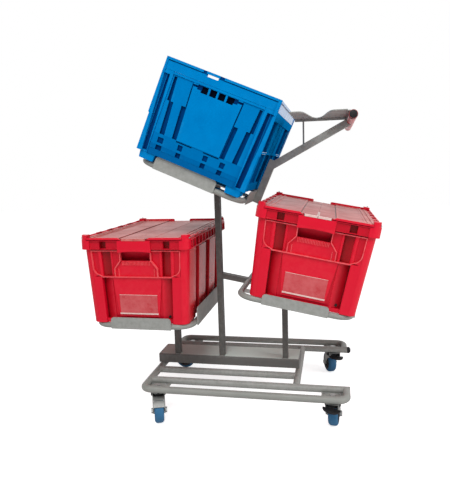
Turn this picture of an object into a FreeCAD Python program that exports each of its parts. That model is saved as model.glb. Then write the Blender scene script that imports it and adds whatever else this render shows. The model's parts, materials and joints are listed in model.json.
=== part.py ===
import FreeCAD, Part
import math
import os
from FreeCAD import Placement, Rotation, Vector

# Order picking trolley, millimetres.
# X runs along the trolley towards the push handle, Y runs away from the viewer, Z is up.
# The origin is on the floor under the middle of the overall box.

# Clearances
SEAT = 0.3
SIDE_PLAY = 0.3
BORE_PLAY = 0.05
HOLE_PLAY = 0.1

# Overall
CRATE_W = 400.0
CRATE_D = 600.0
CRATE_GAP = 220.0

# Castors
WHEEL_D = 88.0
TREAD_W = 34.0
TREAD_T = 9.0
CASTOR_HEADROOM = 25.0
TRAIL = 36.0
FORK_T = 3.0
FORK_GAP = 39.0
FORK_TOP_T = 4.0
FORK_REACH = 12.0
WHEEL_WEB_T = 10.0
WHEEL_RIM_STEP = 2.0
WHEEL_RIM_T = 5.0
RING_D = 46.0
RING_H = 8.0
KING_D = 12.0
KING_HEAD_AF = 19.0
KING_HEAD_H = 8.0
KING_FLANGE_D = 22.0
KING_FLANGE_H = 5.0
AXLE_D = 10.0
AXLE_HEAD_AF = 17.0
AXLE_HEAD_H = 6.0
PEDAL_X = -29.0
PEDAL_DROP = 21.0
PEDAL_W = 56.0
PEDAL_REACH = 36.0
PEDAL_PIN_D = 6.0
PEDAL_T = 4.0
PEDAL_LAP = 2.0
PEDAL_NECK_PLAY = 3.0
PEDAL_NOSE_R = 12.0
PEDAL_RISE = 14.0

# Base frame
BASE_TUBE = 25.0
BASE_WALL = 2.0
OUT_Y = 283.0
IN_Y = 200.0
BASE_INSET_LEFT = 186.0
BASE_INSET_RIGHT = 94.0
BEND_R = 30.0
CROSS_INSET = 186.0
SLAT_Y = 100.0
PLATE_T = 5.0
PLATE_L = 77.0
CASTOR_INSET_LEFT = 56.0
CASTOR_INSET_RIGHT = 59.0
BEAM_H = 36.0
BEAM_D = 116.0
BEAM_T = 3.0
BEAM_OVERHANG = 2.0
PLUG_D = 26.0
PLUG_L = 14.0

# Posts
POST_W = 20.0
POST_D = 30.0
POST_WALL = 2.0
POST_Y = -40.0
LEFT_POST_INSET = 77.0
CENTRE_POST_GAP = 43.0
RIGHT_POST_INSET = 50.0

# Trays
TRAY_TUBE = 20.0
TRAY_WALL = 2.0
LEFT_TRAY_INSET = 28.0
UPPER_TRAY_INSET = 14.0
TRAY_INSET_Y = 38.0
TRAY_BEND = 55.0
LIP_T = 3.0
LEFT_LIP_RISE = 22.0
RIGHT_LIP_RISE = 17.0
UPPER_LIP_RISE = 24.0
LEFT_SIDE_RISE = 46.0
LIP_FOOT_GAP = 21.0
SIDE_LIP_INSET = 170.0
LIP_CORNER = 12.0
STRIP_T = 4.0
STRIP_W = 40.0
MOUNT_STRIP_W = 80.0
STRIP_INSET = 91.0

# Attached-lid crate
LID_OVERHANG = 8.0
LID_DRAFT = 15.5
LID_RIM_V = 302.0
LID_CRATE_H = 313.0
LID_WALL = 3.0
LID_FLOOR = 6.0
LID_RECESS = 9.0
LID_SKIRT_H = 35.0
LID_CORNER_R = 26.0
END_COLUMN_IN = 66.0
SIDE_GROOVE_HALF = 32.0
SIDE_EDGE_GROOVE_IN = (85.0, 60.0)
END_LIP_T = 9.0
NOTCH_HALF = 59.0
SLOT_HALF = 51.0
SLOT_V = (224.0, 258.0)
RIB_V = (168.0, 262.0)
RIB_T = 3.0
FLAP_T = 3.0
HINGE_R = 3.0
HINGE_RISE = 5.0
WIRE_D = 3.0
KNUCKLES = 11
KNUCKLE_INSET = 25.0
SLOT_CUT = 60.0
STIFFENER_IN = (40.0, 30.0)
STIFFENER_END = 10.0
TONGUE_PLAY = 4.0
TONGUE_SHORT = 1.0
LID_EDGE = 1.0
WIRE_SHORT = 3.0

# Folding crate
FOLD_H = 335.0
FOLD_FOOT_H = 24.0
FOLD_RIM_H = 38.0
FOLD_WALL = 4.0
FOLD_FLOOR = 6.0
FOLD_INSET = 3.0
FOLD_COLUMN = 38.0
FOLD_SILL_H = 14.0
FOLD_RIM_T = 6.0
FOLD_CORNER = 6.0
RIM_SLOT = (14.0, 6.0)
FOOT_W = 50.0
FOOT_D = 73.0
FOOT_INSET = 18.0
FOOT_INSET_Y = 12.0
PANEL_T = 6.0
PANEL_PIN_D = 6.0
PANEL_BARREL_R = 4.0
GRIP_HOLE = 22.0
GRIP_PITCH = 28.0

# Push handle
BAR_D = 27.0
BAR_INSET = 90.0
BAR_RISE = 937.0
BAR_CAP_D = 31.0
BAR_CAP_L = 32.0
BAR_PLUG_L = 3.0
BAR_CAP_FACE = 2.0
BAR_CAP_R = 1.5
BAR_WALL = 2.5
UPRIGHT_W = 25.0
UPRIGHT_TOP = 147.0
ARM_W = 25.0
ARM_START_V = 123.0
HANDLE_WALL = 2.0
SHELF_T = 3.0
SHELF_SINK = 0.5
SHELF_GAP = 35.5
SHELF_INSET = 4.0
SHELF_NECK = 16.0
SHELF_CUT_LEFT = 30.0
SHELF_CUT_RIGHT = 54.0
SHELF_CUT_DEEPEST = 0.436
SHELF_PLAY = 1.0
RAIL_W = 8.0
STAY_D = 6.0
STAY_IN = 30.0

# Sizes and places that follow from the values above
CASTOR_H = WHEEL_D + CASTOR_HEADROOM
PEDAL_Z = CASTOR_H - PEDAL_DROP
HALF_LENGTH = CRATE_W + CRATE_GAP / 2
BASE_LEFT = -HALF_LENGTH + BASE_INSET_LEFT
LEG_END = HALF_LENGTH - BASE_INSET_RIGHT
CROSS_X = LEG_END - CROSS_INSET
CASTOR_X_LEFT = BASE_LEFT + CASTOR_INSET_LEFT
CASTOR_X_RIGHT = LEG_END - CASTOR_INSET_RIGHT
LEFT_POST_X = BASE_LEFT + LEFT_POST_INSET
CENTRE_POST_X = -CRATE_GAP / 2 + CENTRE_POST_GAP
RIGHT_POST_X = CROSS_X - RIGHT_POST_INSET
LEFT_TRAY_L = CRATE_W - LEFT_TRAY_INSET
RIGHT_TRAY_L = CRATE_W
UPPER_TRAY_L = CRATE_W - UPPER_TRAY_INSET
TRAY_D = CRATE_D - TRAY_INSET_Y
SIDE_LIP_L = CRATE_D - SIDE_LIP_INSET
STRIP_Y = TRAY_D / 2 - STRIP_INSET
LID_TOP_W = CRATE_W - 2 * LID_OVERHANG
LID_TOP_D = CRATE_D - 2 * LID_OVERHANG
LID_BASE_W = LID_TOP_W - 2 * LID_DRAFT
LID_BASE_D = LID_TOP_D - 2 * LID_DRAFT
END_COLUMN_U = CRATE_W / 2 - END_COLUMN_IN
KNUCKLE_RUN = CRATE_D - 2 * KNUCKLE_INSET
FOOT_OUT = CRATE_W / 2 - FOOT_INSET
FOOT_IN = FOOT_OUT - FOOT_W
LIP_L = 2 * (FOOT_IN - LIP_FOOT_GAP)
FOOT_Y_OUT = CRATE_D / 2 - FOOT_INSET_Y
FOOT_Y_IN = FOOT_Y_OUT - FOOT_D
BAR_X = HALF_LENGTH - BAR_INSET
BAR_Z = CASTOR_H + BAR_RISE
SHELF_Z = BAR_Z + BAR_D / 2 - SHELF_SINK
SHELF_NEAR = -CRATE_D / 2 + SHELF_INSET
BASE_Z = CASTOR_H + BASE_TUBE / 2
BASE_TOP = CASTOR_H + BASE_TUBE
BEAM_TOP = BASE_TOP + BEAM_H
CASTOR_Y = (OUT_Y + IN_Y) / 2
TRAY_BOTTOM = -TRAY_TUBE
HINGE_U = CRATE_W / 2 - HINGE_R
HINGE_V = LID_RIM_V + HINGE_RISE
LEFT_RISE = 252.0
RIGHT_RISE = 329.0
RIGHT_TILT = 11.0
UPPER_TILT = 23.7
LEFT_X = -(HALF_LENGTH - CRATE_W / 2)
LEFT_Z = CASTOR_H + LEFT_RISE
RIGHT_TURN = math.radians(RIGHT_TILT)
RIGHT_X = HALF_LENGTH - HINGE_U * math.cos(RIGHT_TURN) - (HINGE_V + SEAT) * math.sin(RIGHT_TURN) - HINGE_R
RIGHT_Z = CASTOR_H + RIGHT_RISE
UPPER_BESIDE = 47.6
UPPER_ABOVE = 13.4
UPPER_TURN = math.radians(UPPER_TILT)
RIGHT_HINGE_X = RIGHT_X - HINGE_U * math.cos(RIGHT_TURN) + HINGE_V * math.sin(RIGHT_TURN)
RIGHT_HINGE_Z = RIGHT_Z + HINGE_U * math.sin(RIGHT_TURN) + HINGE_V * math.cos(RIGHT_TURN)
UPPER_CORNER_X = RIGHT_HINGE_X - UPPER_BESIDE
UPPER_CORNER_Z = RIGHT_HINGE_Z + UPPER_ABOVE
UPPER_X = UPPER_CORNER_X - CRATE_W / 2 * math.cos(UPPER_TURN)
UPPER_Z = UPPER_CORNER_Z + CRATE_W / 2 * math.sin(UPPER_TURN)
SHELF_LEFT = UPPER_CORNER_X + (SHELF_Z - UPPER_CORNER_Z) * math.tan(UPPER_TURN) + SHELF_GAP
STAY_X = SHELF_LEFT + STAY_IN
LEFT_SHIFT = 6.5
RIGHT_SHIFT = -22.0
UPPER_SHIFT = 8.0
LEFT_LIP = 5.0
RIGHT_LIP = -20.0
UPPER_LIP = -14.0
UPRIGHT_U = UPPER_SHIFT + UPPER_TRAY_L / 2 + LIP_T + UPRIGHT_W / 2

LEFT_PLACE = Placement(Vector(LEFT_X, 0, LEFT_Z), Rotation(Vector(0, 1, 0), 0))
RIGHT_PLACE = Placement(Vector(RIGHT_X, 0, RIGHT_Z), Rotation(Vector(0, 1, 0), RIGHT_TILT))
UPPER_PLACE = Placement(Vector(UPPER_X, 0, UPPER_Z), Rotation(Vector(0, 1, 0), UPPER_TILT))
BIG = 3000.0

os.makedirs("parts", exist_ok=True)


def box(x0, x1, y0, y1, z0, z1):
    return Part.makeBox(x1 - x0, y1 - y0, z1 - z0, Vector(x0, y0, z0))


def block(cx, cy, sx, sy, z0, z1):
    return box(cx - sx / 2, cx + sx / 2, cy - sy / 2, cy + sy / 2, z0, z1)


def rod(start, end, diameter):
    line = end - start
    return Part.makeCylinder(diameter / 2, line.Length, start, line)


def hexagon(centre, across_flats, height, direction):
    radius = across_flats / math.sqrt(3)
    points = []
    for step in range(7):
        angle = math.radians(60 * step)
        points.append(Vector(radius * math.cos(angle), radius * math.sin(angle), 0))
    prism = Part.Face(Part.makePolygon(points)).extrude(Vector(0, 0, height))
    prism.Placement = Placement(centre, Rotation(Vector(0, 0, 1), direction))
    return prism


def fuse(shapes):
    first = shapes[0]
    if len(shapes) == 1:
        return first
    return first.multiFuse(shapes[1:]).removeSplitter()


def placed(shape, placement):
    copy = shape.copy()
    copy.Placement = placement.multiply(copy.Placement)
    return copy


def export(name, shapes):
    if not isinstance(shapes, list):
        shapes = [shapes]
    shape = shapes[0] if len(shapes) == 1 else Part.makeCompound(shapes)
    shape.exportStep("parts/" + name + ".step")


def rounded_outline(length, depth, radius, z, centre_x=0.0):
    hx = length / 2
    hy = depth / 2
    corner = radius * (1 - math.sqrt(0.5))
    edges = []
    signs = [(1, 1), (-1, 1), (-1, -1), (1, -1)]
    for index, (sx, sy) in enumerate(signs):
        along_x = Vector(centre_x + sx * (hx - radius), sy * hy, z)
        along_y = Vector(centre_x + sx * hx, sy * (hy - radius), z)
        middle = Vector(centre_x + sx * (hx - corner), sy * (hy - corner), z)
        first, last = (along_y, along_x) if sx * sy > 0 else (along_x, along_y)
        edges.append(Part.Arc(first, middle, last).toShape())
        nx, ny = signs[(index + 1) % 4]
        if nx * ny > 0:
            following = Vector(centre_x + nx * hx, ny * (hy - radius), z)
        else:
            following = Vector(centre_x + nx * (hx - radius), ny * hy, z)
        edges.append(Part.makeLine(last, following))
    return Part.Wire(edges)


def rounded_block(length, depth, radius, z0, z1):
    return Part.Face(rounded_outline(length, depth, radius, z0)).extrude(Vector(0, 0, z1 - z0))


def tapered(low, high, radius, z0, z1):
    lower = rounded_outline(low[0], low[1], radius, z0)
    upper = rounded_outline(high[0], high[1], radius, z1)
    return Part.makeLoft([lower, upper], True, True)


def swept(path, start, direction, diameter):
    ring = Part.Wire([Part.makeCircle(diameter / 2, start, direction)])
    return path.makePipeShell([ring], True, True)


def bend(before, corner, after, radius):
    into = (before - corner).normalize() * radius
    out = (after - corner).normalize() * radius
    centre = corner + into + out
    middle = centre + (corner - centre).normalize() * radius
    return corner + into, middle, corner + out


def bent_path(points, radius):
    edges = []
    position = points[0]
    for index in range(1, len(points) - 1):
        first, middle, last = bend(points[index - 1], points[index], points[index + 1], radius)
        edges.append(Part.makeLine(position, first))
        edges.append(Part.Arc(first, middle, last).toShape())
        position = last
    edges.append(Part.makeLine(position, points[-1]))
    return Part.Wire(edges)


# Base frame
outer_x = LEG_END - BASE_TUBE / 2
left_x = BASE_LEFT + BASE_TUBE / 2
base_points = [
    Vector(outer_x, -IN_Y, BASE_Z),
    Vector(outer_x, -OUT_Y, BASE_Z),
    Vector(left_x, -OUT_Y, BASE_Z),
    Vector(left_x, OUT_Y, BASE_Z),
    Vector(outer_x, OUT_Y, BASE_Z),
    Vector(outer_x, IN_Y, BASE_Z),
]
base_path = bent_path(base_points, BEND_R)
base_bore = BASE_TUBE - 2 * BASE_WALL
outer_solid = swept(base_path, base_points[0], Vector(0, -1, 0), BASE_TUBE)
outer_hollow = swept(base_path, base_points[0], Vector(0, -1, 0), base_bore)


def inner_rail(y, diameter):
    return rod(Vector(left_x, y, BASE_Z), Vector(LEG_END, y, BASE_Z), diameter)


rail_solids = [inner_rail(-IN_Y, BASE_TUBE), inner_rail(IN_Y, BASE_TUBE)]
outer_tube = outer_solid.cut(outer_hollow).cut(rail_solids[0]).cut(rail_solids[1])
export("base_outer_tube", outer_tube)
left_side = rod(Vector(left_x, -OUT_Y + BEND_R, BASE_Z), Vector(left_x, OUT_Y - BEND_R, BASE_Z), BASE_TUBE)
rail_names = ["front_leg_inner_rail", "rear_leg_inner_rail"]
for name, y, solid in zip(rail_names, (-IN_Y, IN_Y), rail_solids):
    export(name, solid.cut(inner_rail(y, base_bore)).cut(left_side))

cross_start = Vector(CROSS_X, -IN_Y, BASE_Z)
cross_end = Vector(CROSS_X, IN_Y, BASE_Z)
cross_solid = rod(cross_start, cross_end, BASE_TUBE)
cross_tube = cross_solid.cut(rod(cross_start, cross_end, base_bore))
export("right_cross_tube", cross_tube.cut(rail_solids[0]).cut(rail_solids[1]))


def slat(y):
    start = Vector(left_x, y, BASE_Z)
    end = Vector(CROSS_X, y, BASE_Z)
    tube = rod(start, end, BASE_TUBE).cut(rod(start, end, base_bore))
    return tube.cut(left_side).cut(cross_solid)


export("base_slats", [slat(-SLAT_Y), slat(SLAT_Y)])

beam_right = CROSS_X + BEAM_OVERHANG
beam_outer = box(BASE_LEFT, beam_right, -BEAM_D / 2, BEAM_D / 2, BASE_TOP, BEAM_TOP)
beam_inner = box(BASE_LEFT + BEAM_T, beam_right - BEAM_T, -BEAM_D / 2 + BEAM_T, BEAM_D / 2 - BEAM_T,
                 BASE_TOP - BEAM_T, BEAM_TOP - BEAM_T)
beam_edges = [edge for edge in beam_outer.Edges
              if abs(edge.BoundBox.ZMin - BEAM_TOP) < 0.01 and edge.BoundBox.XLength > BEAM_D]
export("base_post_beam", beam_outer.makeFillet(BEAM_T, beam_edges).cut(beam_inner))

king_spots = [(CASTOR_X_LEFT, -CASTOR_Y), (CASTOR_X_RIGHT, -CASTOR_Y),
              (CASTOR_X_LEFT, CASTOR_Y), (CASTOR_X_RIGHT, CASTOR_Y)]
plates = []
for x, y in king_spots:
    plate = block(x, y, PLATE_L, OUT_Y - IN_Y, CASTOR_H, CASTOR_H + PLATE_T)
    hole = Part.makeCylinder(KING_D / 2 + HOLE_PLAY, PLATE_T * 3, Vector(x, y, CASTOR_H - PLATE_T))
    trimmed = plate.cut(outer_solid).cut(rail_solids[0]).cut(rail_solids[1]).cut(hole)
    plates.append(max(trimmed.Solids, key=lambda solid: solid.Volume))
export("castor_plates", plates)

plug_stem = Part.makeCylinder(base_bore / 2, PLUG_L, Vector(LEG_END - PLUG_L, IN_Y, BASE_Z), Vector(1, 0, 0))
plug_head = Part.makeCylinder(PLUG_D / 2, PLUG_L, Vector(LEG_END, IN_Y, BASE_Z), Vector(1, 0, 0))
plug_rim = [edge for edge in plug_head.Edges if edge.BoundBox.XMin > LEG_END + PLUG_L - 0.01]
export("rear_leg_buffer_plug", plug_head.makeFillet(PLUG_L * 0.7, plug_rim).fuse(plug_stem))

# Castors
fork_top = CASTOR_H - RING_H - SEAT
fork_under = fork_top - FORK_TOP_T
king_low = fork_under - SEAT - KING_FLANGE_H
wheel_z = WHEEL_D / 2
fork_out = FORK_GAP / 2 + FORK_T


def king_bolt(x, y):
    head = hexagon(Vector(x, y, CASTOR_H + PLATE_T), KING_HEAD_AF, KING_HEAD_H, Vector(0, 0, 1))
    shank = Part.makeCylinder(KING_D / 2, CASTOR_H + PLATE_T - king_low, Vector(x, y, king_low))
    flange = Part.makeCylinder(KING_FLANGE_D / 2, KING_FLANGE_H, Vector(x, y, king_low))
    return fuse([head, shank, flange])


def bearing_ring(x, y):
    ring = Part.makeCylinder(RING_D / 2, RING_H, Vector(x, y, CASTOR_H - RING_H))
    hole = Part.makeCylinder(KING_D / 2 + HOLE_PLAY, RING_H, Vector(x, y, CASTOR_H - RING_H))
    return ring.cut(hole)


export("castor_king_bolts", [king_bolt(x, y) for x, y in king_spots])
export("castor_bearing_rings", [bearing_ring(x, y) for x, y in king_spots])


def across(x, z, diameter, half_width):
    return Part.makeCylinder(diameter / 2, 2 * half_width, Vector(x, -half_width, z), Vector(0, 1, 0))


def fork_leg(side):
    reach = FORK_REACH
    front = PEDAL_X - PEDAL_PIN_D
    back = TRAIL - reach
    points = [
        Vector(front, 0, fork_top),
        Vector(back, 0, fork_top),
        Vector(TRAIL + reach, 0, wheel_z + reach / 2),
        Vector(TRAIL + reach, 0, wheel_z),
        Vector(TRAIL - reach, 0, wheel_z),
        Vector(TRAIL - reach, 0, wheel_z + reach / 3),
        Vector(0, 0, PEDAL_Z - 2 * reach),
        Vector(front, 0, PEDAL_Z - reach / 2),
        Vector(front, 0, fork_top),
    ]
    inner = FORK_GAP / 2 if side > 0 else -fork_out
    face = Part.Face(Part.makePolygon(points))
    leg = face.extrude(Vector(0, FORK_T, 0))
    leg.translate(Vector(0, inner, 0))
    boss = Part.makeCylinder(reach, FORK_T, Vector(TRAIL, inner, wheel_z), Vector(0, 1, 0))
    return fuse([leg, boss])


def fork():
    front = PEDAL_X - PEDAL_PIN_D
    top = box(front, TRAIL - FORK_REACH, -fork_out, fork_out, fork_under, fork_top)
    shape = fuse([top, fork_leg(1), fork_leg(-1)])
    shape = shape.cut(Part.makeCylinder(KING_D / 2 + BORE_PLAY, WHEEL_D, Vector(0, 0, wheel_z)))
    shape = shape.cut(across(TRAIL, wheel_z, AXLE_D + 2 * HOLE_PLAY, WHEEL_D))
    return shape.cut(across(PEDAL_X, PEDAL_Z, PEDAL_PIN_D + 2 * BORE_PLAY, WHEEL_D))


def wheel_core():
    radius = WHEEL_D / 2 - TREAD_T
    rim = across(TRAIL, wheel_z, 2 * radius, TREAD_W / 2 - WHEEL_RIM_STEP)
    hub = across(TRAIL, wheel_z, AXLE_D * 2.6, FORK_GAP / 2 - SIDE_PLAY)
    dish = across(TRAIL, wheel_z, 2 * (radius - WHEEL_RIM_T), TREAD_W).cut(across(TRAIL, wheel_z, AXLE_D * 3.2, TREAD_W))
    web = across(TRAIL, wheel_z, 2 * radius, WHEEL_WEB_T / 2)
    shape = fuse([rim.cut(dish), web, hub])
    return shape.cut(across(TRAIL, wheel_z, AXLE_D + 2 * BORE_PLAY, TREAD_W))


def wheel_tread():
    tyre = across(TRAIL, wheel_z, WHEEL_D, TREAD_W / 2)
    rims = [edge for edge in tyre.Edges if edge.BoundBox.YLength < 0.01]
    tyre = tyre.makeFillet(TREAD_T * 0.6, rims)
    return tyre.cut(across(TRAIL, wheel_z, WHEEL_D - 2 * TREAD_T, TREAD_W))


def axle():
    shank = across(TRAIL, wheel_z, AXLE_D, fork_out)
    near = hexagon(Vector(TRAIL, -fork_out, wheel_z), AXLE_HEAD_AF, AXLE_HEAD_H, Vector(0, -1, 0))
    far = hexagon(Vector(TRAIL, fork_out, wheel_z), AXLE_HEAD_AF, AXLE_HEAD_H, Vector(0, 1, 0))
    return fuse([shank, near, far])


def brake_pedal():
    hub = across(PEDAL_X, PEDAL_Z, PEDAL_PIN_D * 1.7, FORK_GAP / 2 - SIDE_PLAY)
    pins = across(PEDAL_X, PEDAL_Z, PEDAL_PIN_D, fork_out)
    inner = PEDAL_X - PEDAL_PIN_D - PEDAL_LAP
    half = FORK_GAP / 2 - PEDAL_NECK_PLAY
    low = PEDAL_Z - PEDAL_T / 2
    high = PEDAL_Z + PEDAL_T / 2
    neck = box(inner - PEDAL_LAP, PEDAL_X, -half, half, low, high)
    tread = box(PEDAL_X - PEDAL_REACH, inner, -PEDAL_W / 2, PEDAL_W / 2, low, high)
    nose = [edge for edge in tread.Edges
            if edge.BoundBox.ZLength > PEDAL_T / 2 and edge.BoundBox.XMax < PEDAL_X - PEDAL_REACH + 1]
    shape = fuse([hub, pins, neck, tread.makeFillet(PEDAL_NOSE_R, nose)])
    shape.rotate(Vector(PEDAL_X, 0, PEDAL_Z), Vector(0, 1, 0), -PEDAL_RISE)
    return shape


CASTORS = [
    ("front_left", king_spots[0], -70.0, False),
    ("front_right", king_spots[1], 84.0, True),
    ("rear_left", king_spots[2], 180.0, False),
    ("rear_right", king_spots[3], 110.0, True),
]
castor_pieces = [("fork", fork()), ("wheel_core", wheel_core()), ("wheel_tread", wheel_tread()), ("axle", axle())]
pedal = brake_pedal()
for name, (x, y), turn, braked in CASTORS:
    spot = Placement(Vector(x, y, 0), Rotation(Vector(0, 0, 1), turn))
    for piece, shape in castor_pieces:
        export("castor_" + name + "_" + piece, placed(shape, spot))
    if braked:
        export("castor_" + name + "_brake_pedal", placed(pedal, spot))


# Trays, in their own flat frame with the tube tops at height zero
def tray_loop(outside, shift, diameter):
    length = outside - TRAY_TUBE
    depth = TRAY_D - TRAY_TUBE
    path = rounded_outline(length, depth, TRAY_BEND, -TRAY_TUBE / 2, shift)
    start = path.Edges[1].valueAt(path.Edges[1].FirstParameter)
    direction = path.Edges[1].tangentAt(path.Edges[1].FirstParameter)
    first = Part.Wire(path.Edges[1:] + path.Edges[:1])
    return swept(first, start, direction, diameter)


def lip_sheet(length, top):
    hl = length / 2
    low = TRAY_BOTTOM
    r = LIP_CORNER
    bow = r * (1 - math.sqrt(0.5))
    edges = [
        Part.makeLine(Vector(-hl, 0, low), Vector(hl, 0, low)),
        Part.makeLine(Vector(hl, 0, low), Vector(hl, 0, top - r)),
        Part.Arc(Vector(hl, 0, top - r), Vector(hl - bow, 0, top - bow), Vector(hl - r, 0, top)).toShape(),
        Part.makeLine(Vector(hl - r, 0, top), Vector(-hl + r, 0, top)),
        Part.Arc(Vector(-hl + r, 0, top), Vector(-hl + bow, 0, top - bow), Vector(-hl, 0, top - r)).toShape(),
        Part.makeLine(Vector(-hl, 0, top - r), Vector(-hl, 0, low)),
    ]
    return Part.Face(Part.Wire(edges)).extrude(Vector(0, LIP_T, 0))


def tray(name, place, outside, shift, lip_shift, rise, side_rise):
    loop = tray_loop(outside, shift, TRAY_TUBE)
    hollow = tray_loop(outside, shift, TRAY_TUBE - 2 * TRAY_WALL)
    export(name + "_tray_loop", placed(loop.cut(hollow), place))
    front = lip_sheet(LIP_L, rise)
    front.translate(Vector(lip_shift, -TRAY_D / 2 - LIP_T, 0))
    back = lip_sheet(LIP_L, rise)
    back.translate(Vector(lip_shift, TRAY_D / 2, 0))
    side = lip_sheet(SIDE_LIP_L, side_rise)
    side.rotate(Vector(0, 0, 0), Vector(0, 0, 1), -90)
    side.translate(Vector(shift + outside / 2, 0, 0))
    export(name + "_tray_lips", [placed(lip, place) for lip in (front, back, side)])
    strips = []
    for y, width in ((-STRIP_Y, STRIP_W), (POST_Y, MOUNT_STRIP_W), (STRIP_Y, STRIP_W)):
        middle = -TRAY_TUBE / 2
        flat = block(shift, y, outside - TRAY_TUBE, width, middle - STRIP_T / 2, middle + STRIP_T / 2)
        strips.append(placed(flat.cut(loop), place))
    export(name + "_tray_strips", strips)
    return loop


left_loop = tray("left", LEFT_PLACE, LEFT_TRAY_L, LEFT_SHIFT, LEFT_LIP, LEFT_LIP_RISE, LEFT_SIDE_RISE)
right_loop = tray("right", RIGHT_PLACE, RIGHT_TRAY_L, RIGHT_SHIFT, RIGHT_LIP, RIGHT_LIP_RISE, RIGHT_LIP_RISE)
upper_loop = tray("upper", UPPER_PLACE, UPPER_TRAY_L, UPPER_SHIFT, UPPER_LIP, UPPER_LIP_RISE, UPPER_LIP_RISE)


# Posts end square under the mounting strip of their tray
def post(x, place):
    outer = block(x, POST_Y, POST_W, POST_D, BEAM_TOP, UPPER_Z + UPPER_TRAY_L)
    inner = block(x, POST_Y, POST_W - 2 * POST_WALL, POST_D - 2 * POST_WALL, BEAM_TOP, UPPER_Z + UPPER_TRAY_L)
    above = box(-BIG, BIG, -BIG, BIG, -TRAY_TUBE / 2 - STRIP_T / 2, BIG)
    return outer.cut(placed(above, place)), inner


centre_outer, centre_inner = post(CENTRE_POST_X, UPPER_PLACE)
left_outer, left_inner = post(LEFT_POST_X, LEFT_PLACE)
right_outer, right_inner = post(RIGHT_POST_X, RIGHT_PLACE)
export("left_post", left_outer.cut(left_inner))
export("centre_post", centre_outer.cut(centre_inner))
export("right_post", right_outer.cut(right_inner))

arm_far = RIGHT_SHIFT - RIGHT_TRAY_L / 2 + TRAY_TUBE / 2
arm_near = arm_far - (RIGHT_X - CENTRE_POST_X)
arm_outer = box(arm_near, arm_far, POST_Y - POST_D / 2, POST_Y + POST_D / 2, TRAY_BOTTOM, 0)
arm_bore = box(arm_near, arm_far, POST_Y - POST_D / 2 + POST_WALL, POST_Y + POST_D / 2 - POST_WALL,
               TRAY_BOTTOM + POST_WALL, -POST_WALL)
tray_arm = placed(arm_outer.cut(arm_bore).cut(right_loop), RIGHT_PLACE)
left_of_post = box(-BIG, CENTRE_POST_X + POST_W / 2, -BIG, BIG, -BIG, BIG)
export("right_tray_arm", tray_arm.cut(left_of_post))

# Push handle
bar_end = CRATE_D / 2
bar_start = Vector(BAR_X, -bar_end + BAR_CAP_FACE, BAR_Z)
bar_stop = Vector(BAR_X, bar_end - BAR_PLUG_L, BAR_Z)
bar_solid = rod(bar_start, bar_stop, BAR_D)
export("handlebar", bar_solid.cut(rod(bar_start, bar_stop, BAR_D - 2 * BAR_WALL)))
cap = rod(Vector(BAR_X, -bar_end, BAR_Z), Vector(BAR_X, -bar_end + BAR_CAP_L, BAR_Z), BAR_CAP_D)
cap_rims = [edge for edge in cap.Edges if edge.BoundBox.YLength < 0.01]
cap = cap.makeFillet(BAR_CAP_R, cap_rims).cut(bar_solid)
plug = rod(bar_stop, Vector(BAR_X, bar_end, BAR_Z), BAR_D)
export("handlebar_end_caps", [cap, plug])

upright = block(UPRIGHT_U, POST_Y, UPRIGHT_W, UPRIGHT_W, TRAY_BOTTOM, UPRIGHT_TOP)
upright_bore = block(UPRIGHT_U, POST_Y, UPRIGHT_W - 2 * HANDLE_WALL, UPRIGHT_W - 2 * HANDLE_WALL,
                     TRAY_BOTTOM + HANDLE_WALL, UPRIGHT_TOP - HANDLE_WALL)
upright_solid = placed(upright, UPPER_PLACE)
export("handle_upright", placed(upright.cut(upright_bore), UPPER_PLACE))

arm_start = UPPER_PLACE.multVec(Vector(UPRIGHT_U, 0, ARM_START_V))
arm_rise = math.atan2(BAR_Z - arm_start.z, BAR_X - arm_start.x)
arm_length = math.hypot(BAR_Z - arm_start.z, BAR_X - arm_start.x)
arm_place = Placement(Vector(arm_start.x, POST_Y, arm_start.z), Rotation(Vector(0, 1, 0), -math.degrees(arm_rise)))
handle_outer = box(0, arm_length, -ARM_W / 2, ARM_W / 2, -ARM_W / 2, ARM_W / 2)
handle_bore = box(0, arm_length, -ARM_W / 2 + HANDLE_WALL, ARM_W / 2 - HANDLE_WALL,
                  -ARM_W / 2 + HANDLE_WALL, ARM_W / 2 - HANDLE_WALL)
handle_solid = placed(handle_outer, arm_place)
export("handle_arm", placed(handle_outer.cut(handle_bore), arm_place).cut(upright_solid).cut(bar_solid))

far_edge = POST_Y + RAIL_W / 2
cut_left = SHELF_LEFT + SHELF_CUT_LEFT
cut_right = BAR_X - SHELF_CUT_RIGHT
cut_middle = cut_left + SHELF_CUT_DEEPEST * (cut_right - cut_left)
cut_deep = far_edge - SHELF_NECK


def scallop_side(x0, y0, x1, y1):
    curve = Part.BezierCurve()
    middle = (x0 + x1) / 2
    curve.setPoles([Vector(x0, y0, SHELF_Z), Vector(middle, y0, SHELF_Z),
                    Vector(middle, y1, SHELF_Z), Vector(x1, y1, SHELF_Z)])
    return curve.toShape()


shelf_edges = [
    Part.makeLine(Vector(SHELF_LEFT, far_edge, SHELF_Z), Vector(SHELF_LEFT, SHELF_NEAR, SHELF_Z)),
    Part.makeLine(Vector(SHELF_LEFT, SHELF_NEAR, SHELF_Z), Vector(cut_left, SHELF_NEAR, SHELF_Z)),
    scallop_side(cut_left, SHELF_NEAR, cut_middle, cut_deep),
    scallop_side(cut_middle, cut_deep, cut_right, SHELF_NEAR),
    Part.makeLine(Vector(cut_right, SHELF_NEAR, SHELF_Z), Vector(BAR_X, SHELF_NEAR, SHELF_Z)),
    Part.makeLine(Vector(BAR_X, SHELF_NEAR, SHELF_Z), Vector(BAR_X, far_edge, SHELF_Z)),
    Part.makeLine(Vector(BAR_X, far_edge, SHELF_Z), Vector(SHELF_LEFT, far_edge, SHELF_Z)),
]
shelf = Part.Face(Part.Wire(shelf_edges)).extrude(Vector(0, 0, SHELF_T))
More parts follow.
